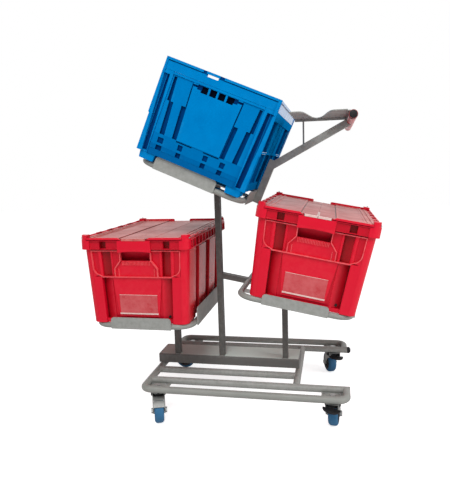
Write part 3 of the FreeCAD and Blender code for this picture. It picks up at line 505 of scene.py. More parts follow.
# The tongue's lip: a pale painted highlight on the right crate, the lid's own red on the left
TONGUE_HIGHLIGHT_FINISH = {"left": LID_RED, "right": FILM_EDGE}
SLOT_FINISH = {
    "frame_grey": FRAME_PAINT, "zinc_steel": ZINC, "black_plastic": BLACK_PLASTIC, "handle_red": HANDLE_RED,
    "wheel_grey": WHEEL_GREY, "tread_blue": TREAD_BLUE, "crate_red": CRATE_RED, "crate_blue": CRATE_BLUE,
}


# Mesh helpers
def crate_place(name):
    x, z, tilt = PLACES[name]
    turn = Matrix.Rotation(math.radians(tilt), 4, "Y")
    return STANDING @ Matrix.Translation((x, 0.0, z)) @ turn @ Matrix.Translation((0.0, 0.0, SEAT))


def castor_place(name):
    x, y, turn = CASTORS[name][:3]
    return STANDING @ Matrix.Translation((x, y, 0.0)) @ Matrix.Rotation(math.radians(turn), 4, "Z")


# An outline carried from low to high along an axis
def prism(bm, outline, low, high, axis="y"):
    rings = []
    for level in (low, high):
        ring = []
        for a, b in outline:
            spot = {"x": (level, a, b), "y": (a, level, b), "z": (a, b, level)}[axis]
            ring.append(bm.verts.new(spot))
        rings.append(ring)
    bm.faces.new(rings[0])
    bm.faces.new(list(reversed(rings[1])))
    count = len(outline)
    for index in range(count):
        after = (index + 1) % count
        bm.faces.new((rings[0][index], rings[0][after], rings[1][after], rings[1][index]))


def rectangle(x0, x1, y0, y1):
    return [(x0, y0), (x1, y0), (x1, y1), (x0, y1)]


def slab(bm, x0, x1, y0, y1, z0, z1):
    prism(bm, rectangle(x0, x1, y0, y1), z0, z1, "z")


def arc(centre, radius, first, last, steps):
    points = []
    for step in range(steps + 1):
        angle = math.radians(first + (last - first) * step / steps)
        points.append((centre[0] + radius * math.cos(angle), centre[1] + radius * math.sin(angle)))
    return points


# A bar of even width along a line of points
def strip(bm, points, width, low, high):
    left = []
    right = []
    for index, point in enumerate(points):
        before = Vector(points[max(index - 1, 0)])
        after = Vector(points[min(index + 1, len(points) - 1)])
        along = (after - before).normalized()
        side = Vector((-along.y, along.x)) * width / 2
        left.append(tuple(Vector(point) + side))
        right.append(tuple(Vector(point) - side))
    prism(bm, left + right[::-1], low, high)


def mirrored(points):
    return [(-a, b) for a, b in points]


def both_ways(values):
    return sorted({-value for value in values} | set(values))


def near_any(value, middles, reach):
    return min(abs(value - middle) for middle in middles) < reach


def in_any(value, spans):
    return any(low < value < high for low, high in spans)


def edges_of(spans):
    return {edge for span in spans for edge in span}


def around(middles, reach):
    return {middle + side * reach for middle in middles for side in BOTH}


# Marks how much painted shade a point takes
def painted_shade_layer(bm):
    return bm.verts.layers.float.get("painted_shade") or bm.verts.layers.float.new("painted_shade")


# Where a point of a relief lies: across, up, and a depth behind an end face or a side face
def end_spot(half, end):
    return lambda u, v, depth: (u, end * (half - depth), v)


def side_spot(half, side):
    return lambda y, v, depth: (side * (half - depth), y, v)


# A plate of cells, each with its own front and back depth; front gives None for a hole
def relief(bm, us, vs, front, back, spot, painted_shade_by_depth):
    shade = painted_shade_layer(bm)
    cells = {}
    for i in range(len(us) - 1):
        for j in range(len(vs) - 1):
            middle = ((us[i] + us[i + 1]) / 2, (vs[j] + vs[j + 1]) / 2)
            depth = front(*middle)
            if depth is not None:
                cells[i, j] = (depth, back(*middle) if callable(back) else back)
    levels = sorted({depth for pair in cells.values() for depth in pair})
    made = {}

    def vert(i, j, depth):
        if (i, j, depth) not in made:
            made[i, j, depth] = bm.verts.new(spot(us[i], vs[j], depth))
            # Each point takes the painted shade given for its depth
            made[i, j, depth][shade] = painted_shade_by_depth.get(depth, 0.0)
        return made[i, j, depth]

    def wall(a, b, first, last):
        steps = [depth for depth in levels if min(first, last) <= depth <= max(first, last)]
        for low, high in zip(steps, steps[1:]):
            bm.faces.new((vert(*a, low), vert(*b, low), vert(*b, high), vert(*a, high)))

    for (i, j), (near, far) in cells.items():
        corners = ((i, j), (i + 1, j), (i + 1, j + 1), (i, j + 1))
        for depth in (near, far):
            bm.faces.new([vert(*corner, depth) for corner in corners])
        sides = (((1, 0), corners[1], corners[2]), ((0, 1), corners[3], corners[2]),
                 ((-1, 0), corners[0], corners[3]), ((0, -1), corners[0], corners[1]))
        for (di, dj), a, b in sides:
            other = cells.get((i + di, j + dj))
            if other is None:
                wall(a, b, near, far)
            elif di + dj > 0:
                if other[0] != near:
                    wall(a, b, near, other[0])
                if other[1] != far:
                    wall(a, b, far, other[1])
    # Cells that lie in one plane become one face
    bmesh.ops.dissolve_limit(bm, angle_limit=0.01, verts=bm.verts, edges=bm.edges)


# A closed profile turned about an axis
def lathe(bm, profile, steps, centre, axis="y"):
    rings = []
    for step in range(steps):
        angle = 2 * math.pi * step / steps
        ring = []
        for radius, along in profile:
            a = radius * math.cos(angle)
            b = radius * math.sin(angle)
            spot = {"y": (a, along, b), "z": (a, b, along)}[axis]
            ring.append(bm.verts.new(Vector(centre) + Vector(spot)))
        rings.append(ring)
    count = len(profile)
    for step in range(steps):
        here = rings[step]
        there = rings[(step + 1) % steps]
        for index in range(count):
            after = (index + 1) % count
            bm.faces.new((here[index], here[after], there[after], there[index]))


def add_mesh(bm, mesh):
    bm.from_mesh(mesh)
    bpy.data.meshes.remove(mesh)


# A prism whose points are marked for painted shade
def painted_shade_prism(bm, outline, low, high, axis, painted_shade_at):
    shade = painted_shade_layer(bm)
    known = set(bm.verts)
    prism(bm, outline, low, high, axis)
    for vert in bm.verts:
        if vert not in known:
            vert[shade] = painted_shade_at(abs(vert.co.x))


# The plan of one rounded corner of a thin wall
def corner_outline(half_w, half_d, radius, thick, reach):
    outer = arc((half_w - radius, half_d - radius), radius, 90.0, 0.0, 8)
    inner = arc((half_w - radius, half_d - radius), radius - thick, 0.0, 90.0, 8)
    end_u = half_w - radius - reach
    end_y = half_d - radius - reach
    return ([(end_u, half_d)] + outer + [(half_w, end_y)]
            + [(half_w - thick, end_y)] + inner + [(end_u, half_d - thick)])


def four_corners(bm, outline, low, high):
    for su, sy in CORNERS:
        prism(bm, [(su * a, sy * b) for a, b in outline], low, high, "z")


# Adds what a function draws, with its own faces turned outward
def add_part(bm, draw):
    part = bmesh.new()
    draw(part)
    bmesh.ops.recalc_face_normals(part, faces=part.faces)
    mesh = bpy.data.meshes.new("part")
    part.to_mesh(mesh)
    part.free()
    add_mesh(bm, mesh)


def add_relief(bm, *shape):
    add_part(bm, lambda part: relief(part, *shape))


def new_object(name, data):
    made = bpy.data.objects.new(name, data)
    bpy.context.scene.collection.objects.link(made)
    return made


# Makes an object of what a function draws and puts it in its place
def new_piece(name, draw, place, finish):
    bm = bmesh.new()
    draw(bm)
    bmesh.ops.recalc_face_normals(bm, faces=bm.faces)
    bm.transform(place)
    mesh = bpy.data.meshes.new(name)
    bm.to_mesh(mesh)
    bm.free()
    mesh.materials.clear()
    mesh.materials.append(finish)
    for polygon in mesh.polygons:
        polygon.material_index = 0
    return new_object(name, mesh)


# Makes a piece, softens its edges and lets it ride on its body
def dressed(name, draw, place, finish, body, slot, stands_for=(), edge=0.0, crease=34.0):
    piece = new_piece(name, draw, place, finish)
    piece.data.shade_smooth()
    if edge > 0.0:
        soften = piece.modifiers.new("soft_edges", "BEVEL")
        soften.width = edge * MM
        soften.segments = 2
        soften.limit_method = "ANGLE"
        soften.angle_limit = math.radians(crease)
        soften.harden_normals = True
    else:
        piece.data.set_sharp_from_angle(angle=math.radians(crease))
    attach(piece, body)
    if stands_for:
        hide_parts(*stands_for)


# Geometry Nodes trees for what repeats
def new_tree(name, inputs):
    tree = bpy.data.node_groups.new(name, "GeometryNodeTree")
    for label, kind in [("Geometry", "Geometry")] + inputs + [("Finish", "Material")]:
        tree.interface.new_socket(label, in_out="INPUT", socket_type="NodeSocket" + kind)
    tree.interface.new_socket("Geometry", in_out="OUTPUT", socket_type="NodeSocketGeometry")
    return tree, tree.nodes.new("NodeGroupInput")


# Puts a copy of the shape on each point, in the finish asked for
def end_tree(tree, start, points, shape):
    copies = tree.nodes.new("GeometryNodeInstanceOnPoints")
    real = tree.nodes.new("GeometryNodeRealizeInstances")
    paint = tree.nodes.new("GeometryNodeSetMaterial")
    tree.links.new(points, copies.inputs["Points"])
    link(tree, shape, "Mesh", copies, "Instance")
    link(tree, copies, "Instances", real, "Geometry")
    link(tree, real, "Geometry", paint, "Geometry")
    link(tree, start, "Finish", paint, "Material")
    link(tree, paint, "Geometry", tree.nodes.new("NodeGroupOutput"), "Geometry")
    return copies


# A row of one shape; sizes give each size's name, its kind and the shape's own name for it
def make_row(name, shape_kind, sizes):
    inputs = [("Count", "Int"), ("Start", "Vector"), ("Step", "Vector"), ("Turn", "Rotation")]
    tree, start = new_tree(name, inputs + [(label, kind) for label, kind, field in sizes])
    line = tree.nodes.new("GeometryNodeMeshLine")
    shape = tree.nodes.new(shape_kind)
    copies = end_tree(tree, start, line.outputs["Mesh"], shape)
    for label, field in (("Count", "Count"), ("Start", "Start Location"), ("Step", "Offset")):
        link(tree, start, label, line, field)
    for label, kind, field in sizes:
        link(tree, start, label, shape, field)
    link(tree, start, "Turn", copies, "Rotation")
    return tree


def make_weld_bead():
    tree, start = new_tree("weld_bead", [("Pitch", "Float"), ("Radius", "Float")])
    path = tree.nodes.new("GeometryNodeMeshToCurve")
    ripple = tree.nodes.new("GeometryNodeResampleCurve")
    ripple.mode = "LENGTH"
    drop = new_node(tree, "GeometryNodeMeshIcoSphere", subdivisions=2)
    end_tree(tree, start, ripple.outputs["Curve"], drop)
    link(tree, start, "Geometry", path, "Mesh")
    link(tree, path, "Curve", ripple, "Curve")
    link(tree, start, "Pitch", ripple, "Length")
    link(tree, start, "Radius", drop, "Radius")
    return tree


BLOCK_ROW = make_row("block_row", "GeometryNodeMeshCube", [("Size", "Vector", "Size")])
BARREL_ROW = make_row("barrel_row", "GeometryNodeMeshCylinder", [
    ("Radius", "Float", "Radius"), ("Length", "Float", "Depth"), ("Sides", "Int", "Vertices")])
WELD_BEAD = make_weld_bead()
ALONG_Y = (math.radians(90), 0.0, 0.0)


# Runs a tree on a carrier and adds what it grows
def add_grown(bm, tree, carrier_mesh=None, **values):
    mesh = carrier_mesh or bpy.data.meshes.new("carrier")
    carrier = new_object("carrier", mesh)
    grow = carrier.modifiers.new("grow", "NODES")
    grow.node_group = tree
    for item in tree.interface.items_tree:
        key = item.name.lower()
        if item.in_out == "INPUT" and key in values:
            grow[item.identifier] = values[key]
    bpy.context.view_layer.update()
    shown = carrier.evaluated_get(bpy.context.evaluated_depsgraph_get())
    result = bpy.data.meshes.new_from_object(shown)
    carrier.modifiers.remove(grow)
    bpy.data.objects.remove(carrier)
    bpy.data.meshes.remove(mesh)
    add_mesh(bm, result)


# Attached-lid crate

# Narrows the walls towards the floor of the crate
def taper(bm):
    for vert in bm.verts:
        share = min(max(vert.co.z / RIM_V, 0.0), 1.0)
        vert.co.x *= BASE_SHARE_W + (1 - BASE_SHARE_W) * share
        vert.co.y *= BASE_SHARE_D + (1 - BASE_SHARE_D) * share


# How deep the end wall's face lies at a place; the hand hole has none
def end_front(u, v):
    a = abs(u)
    if v < SKIRT_TOP:
        return SKIRT_DEEP if a < CHANNEL_OUT else 0.0
    if BELT_LOW < v < BELT_TOP:
        return 0.0
    if BAND_LOW < v < BAND_TOP:
        return 0.0 if a > BAND_U else HEAD_DEEP
    if v > BAND_TOP:
        return CHANNEL_DEEP if CHANNEL_IN < a < CHANNEL_OUT else HEAD_DEEP
    if v < BELT_LOW:
        if a > CHANNEL_OUT:
            return 0.0
        return CHANNEL_DEEP if a > CHANNEL_IN else PANEL_DEEP
    if a < HAND_U and HAND_LOW < v < HAND_TOP:
        return None
    if a > POST_U:
        return 0.0
    if a > POCKET_U:
        return POCKET_DEEP
    return CHANNEL_DEEP if a > CHANNEL_IN else PANEL_DEEP


def end_back(u, v):
    return CHANNEL_BACK if abs(u) > THICK_U else PANEL_BACK


def end_wall(bm, end):
    def at(depth):
        return end * (WALL_HALF_D - depth)

    def layer(outline, near, far):
        prism(bm, outline, at(near), at(far))

    def half_round(middle, radius, deep):
        curve = arc((middle, 0.0), radius, 0.0, 180.0, 8)
        for side in BOTH:
            outline = [(side * a, end * (WALL_HALF_D - deep + b)) for a, b in curve]
            prism(bm, outline, 169.0, 261.0, "z")

    def slope(side, inner, outer, low, high, painted_shade_at):
        outline = [(side * SLOPE_IN, at(inner)), (side * SLOPE_OUT, at(outer)),
                   (side * SLOPE_OUT, at(SLOPE_BACK)), (side * SLOPE_IN, at(SLOPE_BACK))]
        painted_shade_prism(bm, outline, low, high, "z", painted_shade_at)

    us = both_ways((0.0, HAND_U, BAND_U, THICK_U, CHANNEL_IN, POCKET_U, CHANNEL_OUT, POST_U, END_U))
    vs = (0.0, SKIRT_TOP, BELT_LOW, BELT_TOP, HAND_LOW, HAND_TOP, BAND_LOW, BAND_TOP, WALL_TOP)
    # Channels, panels and pockets take painted shade by their depth
    relief(bm, us, vs, end_front, end_back, end_spot(WALL_HALF_D, end),
           {CHANNEL_DEEP: 1.0, PANEL_DEEP: 0.22, POCKET_DEEP: 0.24})
    corner = [(167.5, 168.0), (167.5, 202.0)] + arc((136.0, 202.0), 28.0, 0.0, -78.0, 8)
    layer(corner, 0.0, SLOPE_BACK)
    layer(mirrored(corner), 0.0, SLOPE_BACK)
    half_round(135.0, 7.0, 8.0)
    half_round(91.0, 4.0, 10.0)
    # The sloped floors take painted shade, darkest at their deep edge
    for side in BOTH:
        slope(side, 5.0, 22.0, SKIRT_TOP, 167.0, lambda u: 0.1 + 0.7 * max(u - 100.0, 0.0) / 31.5)
        slope(side, 20.0, 13.0, 168.0, 262.0, lambda u: 0.75 + 0.25 * (SLOPE_OUT - u) / 36.5)
    apron = [(-54.0, 225.5), (54.0, 225.5), (79.0, 198.0), (80.0, 169.0), (-80.0, 169.0), (-79.0, 198.0)]
    layer(apron, 6.5, 11.0)
    card_field = [(-94.0, 166.0), (94.0, 166.0), (79.0, 24.0), (-79.0, 24.0)]
    layer(card_field, 4.5, 11.0)
    hand_shield = [(end * 266.0, 264.0), (end * 246.0, 204.0), (end * 243.5, 204.0), (end * 263.5, 264.0)]
    prism(bm, hand_shield, -78.0, 78.0, "x")


def end_ribs(bm, end):
    def rib(points, out=RIB_OUT, back=RIB_BACK, width=RIB_W):
        strip(bm, points, width, end * (WALL_HALF_D + out), end * (WALL_HALF_D - back))

    def rib_pair(points, **sizes):
        rib(points, **sizes)
        rib(mirrored(points), **sizes)

    rib_pair([(163.5, 262.0), (163.5, 202.0)] + arc((136.0, 202.0), 27.5, 0.0, -80.0, 8) + [(128.0, 168.5)])
    rib_pair([(132.0, 168.3), (81.0, 168.3)])
    rib_pair([(164.5, 261.8), (58.0, 261.8)])
    rib_pair([(57.0, 227.0), (80.0, 199.0), (81.0, 167.0)], back=11.0)
    rib_pair([(57.0, 262.0), (57.0, 226.0)], out=1.2, back=11.0)
    rib_pair([(67.0, 198.0), (67.0, 169.0)], out=-4.0, back=11.0, width=2.0)
    rib([(-81.0, 168.3), (81.0, 168.3)])


def side_front(y, v):
    a = abs(y)
    if v > SIDE_TOP:
        return SIDE_HEAD
    if SIDE_IN < a < SIDE_OUT or a < SIDE_MID:
        return SIDE_CHANNEL
    if a < SIDE_IN and (v < SKIRT_TOP or v > SIDE_EDGE):
        return SIDE_PANEL
    return 0.0


def crate_walls(bm):
    for end in BOTH:
        add_part(bm, lambda part: end_wall(part, end))
    four_corners(bm, corner_outline(WALL_HALF_W, WALL_HALF_D, CORNER_R, 12.0, 1.0), 0.0, WALL_TOP)
    slab(bm, -182.0, 182.0, -282.0, 282.0, 2.0, 7.0)
    for side in BOTH:
        slab(bm, side * 60.0, side * 176.0, -270.0, 270.0, 0.4, 4.0)
    taper(bm)


def crate_sides(bm):
    ys = both_ways((SIDE_MID, SIDE_IN, SIDE_OUT, SIDE_END))
    vs = (0.0, SKIRT_TOP, SIDE_EDGE, SIDE_TOP, WALL_TOP)
    # The channels and panels take painted shade by their depth
    for side in BOTH:
        add_relief(bm, ys, vs, side_front, SIDE_BACK, side_spot(WALL_HALF_W, side),
                   {SIDE_CHANNEL: 0.8, SIDE_PANEL: 0.3})
    taper(bm)


def crate_ribs(bm):
    for end in BOTH:
        end_ribs(bm, end)
    taper(bm)


def rim_end_front(u, v):
    a = abs(u)
    if a < NOTCH_U and v > RIM_BEAD:
        return None
    if a > POST_U or v > RIM_BEAD or a < ARCH_U:
        return 0.0
    if v < RIM_UNDER:
        return RIM_UNDER_DEEP
    if a > POCKET_U:
        return RIM_POCKET_DEEP
    return RIM_CHANNEL_DEEP if a > RIM_CHANNEL_U else RIM_PANEL_DEEP


def rim_end(bm, end):
    us = both_ways((0.0, NOTCH_U, ARCH_U, RIM_THICK_U, RIM_CHANNEL_U, POCKET_U, POST_U, RIM_END_U))
    # The rim's channels, panels, pockets and underside take painted shade
    relief(bm, us, (RIM_LOW, RIM_UNDER, RIM_BEAD, RIM_V), rim_end_front,
           lambda u, v: RIM_CHANNEL_DEEP + 3.0 if abs(u) > RIM_THICK_U else RIM_BACK,
           end_spot(RIM_HALF_D, end),
           {RIM_CHANNEL_DEEP: 1.0, RIM_PANEL_DEEP: 0.42, RIM_POCKET_DEEP: 0.34, RIM_UNDER_DEEP: 0.4})
    arch = [(ARCH_U * step / 6.0, 260.5 - (step / 6.0) ** 2 * 4.0) for step in range(-6, 7)]
    apron = [(-ARCH_U, 268.0)] + arch + [(ARCH_U, 268.0)]
    prism(bm, apron, end * (RIM_HALF_D - 0.2), end * (RIM_HALF_D - 12.0))
    if end < 0:
        lip = [(44.0, RIM_V - 4.0), (47.0, RIM_V - 1.0), (55.0, LIP_TOP - 1.5), (59.0, LIP_TOP)]
        lip += [(RIM_END_U, LIP_TOP), (RIM_END_U, RIM_V - 4.0)]
    else:
        lip = [(36.0, RIM_V - 4.0), (36.0, FAR_LIP_TOP - 5.0)]
        lip += arc((41.0, FAR_LIP_TOP - 5.0), 5.0, 180.0, 90.0, 5)
        lip += [(RIM_END_U, FAR_LIP_TOP), (RIM_END_U, RIM_V - 4.0)]
    for outline in (lip, mirrored(lip)):
        prism(bm, outline, end * RIM_HALF_D, end * (RIM_HALF_D - 8.6))


def rim_side_front(y, v):
    if v < RIM_SIDE_UNDER or v > RIM_BEAD:
        return 0.0
    if near_any(y, RIM_RIBS, RIM_RIB_HALF):
        return 0.0
    return RIM_SIDE_POCKET if 150.0 < abs(y) < 220.0 else RIM_SIDE_PANEL


def rim_side(bm, side):
    ys = {-RIM_SIDE_END, RIM_SIDE_END} | around(RIM_RIBS, RIM_RIB_HALF)
    vs = (RIM_LOW, RIM_SIDE_UNDER, RIM_BEAD, RIM_V)
    # The pockets and panels take painted shade
    add_relief(bm, sorted(ys), vs, rim_side_front, RIM_SIDE_BACK, side_spot(RIM_HALF_W, side),
               {RIM_SIDE_POCKET: 1.0, RIM_SIDE_PANEL: 0.5})


def crate_rim(bm):
    for end in BOTH:
        add_part(bm, lambda part: rim_end(part, end))
        rim_side(bm, end)
    four_corners(bm, corner_outline(RIM_HALF_W, RIM_HALF_D, CORNER_R, 8.0, 1.0), RIM_LOW, RIM_V)
    middle = (CORNER_BLOCK_U - CORNER_BLOCK_R, RIM_HALF_D - CORNER_BLOCK_R)
    block = [(172.0, 272.0), (172.0, RIM_HALF_D)] + arc(middle, CORNER_BLOCK_R, 90.0, 0.0, 8)
    block += [(CORNER_BLOCK_U, 272.0)]
    four_corners(bm, block, RIM_V - 1.0, CORNER_TOP)


# Every second place along a hinge: their number, the first one, their step and their width
def hinge_row(first):
    pitch = KNUCKLE_RUN / KNUCKLES
    count = len(range(first, KNUCKLES, 2))
    start = -KNUCKLE_RUN / 2 + (first + 0.5) * pitch
    return count, start, 2 * pitch, pitch


def hinge_ridges(bm):
    count, start, step, pitch = hinge_row(0)
    tall = RIDGE_TOP - RIM_V + 1.0
    for side in BOTH:
        add_grown(bm, BLOCK_ROW, count=count, start=(side * RIDGE_U, start, RIDGE_TOP - tall / 2),
                  step=(0.0, step, 0.0), size=(5.4, pitch - 7.0, tall), finish=CRATE_RED)


def grip_comb(bm):
    share = BASE_SHARE_D + (1 - BASE_SHARE_D) * COMB_V / RIM_V
    for end in BOTH:
        add_grown(bm, BLOCK_ROW, count=21, start=(-50.0, end * (WALL_HALF_D - 5.6) * share, COMB_V),
                  step=(5.0, 0.0, 0.0), size=(2.0, 4.6, 14.0), finish=CRATE_RED)


def wire_ends(bm):
    pin = [(2.6, 312.0), (2.6, 321.0), (1.8, 322.5), (0.2, 322.5), (0.2, 312.0)]
    for side in BOTH:
        lathe(bm, pin, 12, (side * 187.0, 292.0, 0.0), "z")


# Black discs stand for the drain holes; their black is painted shade
def drain_holes(bm):
    for end in BOTH:
        hole = arc((118.0, 24.0), 5.0, 0.0, 330.0, 11)
        prism(bm, hole, end * (WALL_HALF_D - 13.4), end * (WALL_HALF_D - 17.0))
    taper(bm)


def card_film(bm):
    outline = rectangle(-74.0, 74.0, 38.0, 104.0)
    for end in BOTH:
        prism(bm, outline, end * (WALL_HALF_D - 2.6), end * (WALL_HALF_D - 5.0))
    taper(bm)


def card_ledge(bm):
    outline = rectangle(-76.0, 76.0, 33.0, 38.0)
    for end in BOTH:
        far = end * (WALL_HALF_D - 5.0)
        prism(bm, outline, end * (WALL_HALF_D - 0.4), far)
        strip(bm, [(-74.0, 103.5), (74.0, 103.5)], 1.2, end * (WALL_HALF_D - 2.2), far)
    taper(bm)


# How high the lid's top lies at a place; its cut corners have none
def lid_height(u, y):
    a = abs(y)
    if a > LID_END_Y:
        return STRIP_TOP if u < (TONGUE_U if y < 0 else FAR_TONGUE_U) else None
    if u > LID_NOTCH_U and a > LID_NOTCH_Y:
        return None
    if u < STRIP_U:
        return STRIP_TOP
    if u < GROOVE_U:
        return GROOVE_TOP
    if in_any(u, LID_RIDGES):
        return LID_RIDGE_TOP
    if FIELD_IN < u < FIELD_OUT and a < LID_NOTCH_Y:
        return FIELD_TOP
    return LID_TOP


def lid_sheet(bm, side):
    us = {LID_IN, FAR_TONGUE_U, TONGUE_U, STRIP_U, GROOVE_U, FIELD_IN, FIELD_OUT, LID_NOTCH_U, LID_OUT}
    ys = both_ways((0.0, LID_NOTCH_Y, LID_END_Y, TONGUE_END_Y))
    # The groove takes painted shade, the strip and field a little
    relief(bm, sorted(us | edges_of(LID_RIDGES)), ys, lid_height, LID_LOW,
           lambda u, y, height: (side * u, y, height), {GROOVE_TOP: 1.0, STRIP_TOP: 0.15, FIELD_TOP: 0.15})


def lid_knuckles(bm, side):
    count, start, step, pitch = hinge_row(1)
    row = {"count": count, "step": (0.0, step, 0.0), "finish": CRATE_RED}
    add_grown(bm, BARREL_ROW, start=(side * HINGE_U, start, HINGE_V), radius=HINGE_R, length=pitch - 3.0,
              sides=14, turn=ALONG_Y, **row)
    add_grown(bm, BLOCK_ROW, start=(side * 190.0, start, 305.2), size=(13.0, pitch - 4.0, 3.6), **row)


# A lip along the lid's tongue and a line by its seam, finished as a painted highlight
def tongue_highlight(bm, side):
    lip = [(-291.0, STRIP_TOP - 0.3), (-291.0, STRIP_TOP + 0.3), (-299.0, STRIP_TOP + 0.5)]
    lip += [(-299.9, STRIP_TOP - 0.4), (-299.9, 297.8), (-298.4, 297.8), (-298.4, STRIP_TOP - 0.3)]
    prism(bm, lip, side * 0.8, side * 42.6, "x")
    slab(bm, side * 0.5, side * 3.2, -290.5, -150.0, STRIP_TOP - 0.5, STRIP_TOP + 0.25)


# Gives a function that dresses one crate; pieces, bodies and nodes go by what follows the crate's name
def crate_dresser(name, slot):
    crate = name + "_crate"

    def moulded(piece, draw, finish, edge, body="", stands_for=None):
        stood_for = [crate + stands_for] if stands_for else ()
        dressed(crate + piece, draw, crate_place(name), finish, crate + body, slot, stood_for, edge=edge)

    return moulded


def lid_crate(name):
    moulded = crate_dresser(name, "crate_red")
    moulded("_walls", crate_walls, CRATE_RED, 1.0, stands_for="_body")
    moulded("_long_sides", crate_sides, SIDE_RED, 1.0)
    moulded("_front_ribs", crate_ribs, RIB_HIGHLIGHT_RED, 0.6)
    moulded("_rim_ring", crate_rim, CRATE_RED, 1.4)
    moulded("_hinge_ridges", hinge_ridges, CRATE_RED, 1.4)
    moulded("_grip_comb", grip_comb, RIB_HIGHLIGHT_RED, 0.4)
    dressed(name + "_crate_wire_ends", wire_ends, crate_place(name), ZINC, name + "_crate", "zinc_steel",
            crease=50.0)
    for lid, side in (("_left_lid", -1), ("_right_lid", 1)):
        flap = lid + "_flap"
        moulded(lid + "_sheet", lambda bm: lid_sheet(bm, side), LID_RED, 0.7, flap, lid)
        moulded(lid + "_knuckles", lambda bm: lid_knuckles(bm, side), CRATE_RED, 0.5, flap)
        moulded(lid + "_worn_tongue", lambda bm: tongue_highlight(bm, side), TONGUE_HIGHLIGHT_FINISH[name], 0.1, flap)
    moulded("_drain_holes", drain_holes, BLACK_PLASTIC, 0.4)
    moulded("_card_film", card_film, CARD_FILM, 0.5)
    moulded("_card_ledge", card_ledge, FILM_EDGE, 0.4)


lid_crate("left")
lid_crate("right")


# Folding crate

# How deep the swinging wall's face lies at a place; the grip holes have none
def fold_panel_front(u, v):
    a = abs(u)
    at_nick = near_any(u, NICK_MIDDLES, NICK_HALF)
    if v > HEAD_LOW:
        return HEAD_FACE
    if v < SILL_TOP:
        return SLOT_DEEP if at_nick else SILL_FACE
    if NICK_LOW < v < NICK_TOP and at_nick:
        return NICK_DEEP
    if SLIT_LOW < v < SLIT_TOP and SLIT_IN < a < SHIELD_U:
        return NICK_DEEP
    if v < FIELD_LOW:
        return BAND_FACE
    if GRIP_LOW < v < GRIP_TOP and near_any(u, GRIP_MIDDLES, GRIP_HOLE / 2):
        return None
    if LATCH_LOW < v < GRIP_TOP and LATCH_IN < a < LATCH_OUT:
        return NICK_DEEP
    if PIN_LOW < v < SLOT_TOP and LATCH_OUT < a < SHIELD_U:
        return NICK_DEEP
    if a < SHIELD_U:
        return SHIELD_FACE
    if v > SLOT_TOP:
        return FIELD_FACE
    if a < GAP_U:
        return GAP_DEEP
    slots = HIGH_SLOTS if v > SLOT_SPLIT else LOW_SLOTS
    return SLOT_DEEP if in_any(a, slots) else FIELD_FACE


def fold_end_panel(bm, end):
    def spot(u, v, depth):
        fade = min(max((PANEL_HALF - abs(u)) / 28.0, 0.0), 1.0)
        return (u * (1 + 0.0006 * (v - 170.0) * fade), end * (FOLD_HALF_D - depth), v)

    paired = {PANEL_HALF, GAP_U, SHIELD_U, LATCH_OUT, LATCH_IN, SLIT_IN} | edges_of(LOW_SLOTS + HIGH_SLOTS)
    us = set(both_ways(paired)) | around(GRIP_MIDDLES, GRIP_HOLE / 2) | around(NICK_MIDDLES, NICK_HALF)
    vs = (PANEL_LOW, SILL_TOP, NICK_LOW, NICK_TOP, SLIT_LOW, SLIT_TOP, FIELD_LOW, SLOT_SPLIT, GRIP_LOW,
          LATCH_LOW, PIN_LOW, SLOT_TOP, GRIP_TOP, HEAD_LOW, PANEL_TOP)
    # Slots, nicks and the gap take painted shade, and the lower bands more towards the bottom
    relief(bm, sorted(us), vs, fold_panel_front,
           lambda u, v: FOLD_PANEL_BACK if v < HEAD_LOW else HEAD_BACK, spot,
           {SLOT_DEEP: 1.0, NICK_DEEP: 1.0, GAP_DEEP: 0.9, SILL_FACE: 0.5, BAND_FACE: 0.3, FIELD_FACE: 0.12})


# Near-black plates behind the grip holes: painted shade seen through them
def grip_pockets(bm, end):
    half = GRIP_HOLE / 2 + 1.5
    for hole in GRIP_MIDDLES:
        middle = hole * 1.065
        outline = rectangle(middle - half, middle + half, GRIP_LOW - 1.5, GRIP_TOP + 1.5)
        prism(bm, outline, end * (FOLD_HALF_D - 14.5), end * (FOLD_HALF_D - 18.0))


def fold_side_front(y, v):
    a = abs(y)
    if v > BAY_TOP or a > FOLD_POST_Y:
        return 0.0
    if v < FOLD_SKIRT_TOP:
        return FOLD_SKIRT_DEEP
    if FOLD_BEAM_LOW < v < FOLD_BEAM_TOP:
        return 0.0
    if v > FOLD_BEAM_TOP:
        return HIGH_BAY_DEEP if in_any(a, HIGH_BAYS) else BAY_RIB_DEEP
    return BAY_RIB_DEEP if in_any(a, LOW_BAY_RIBS) else LOW_BAY_DEEP


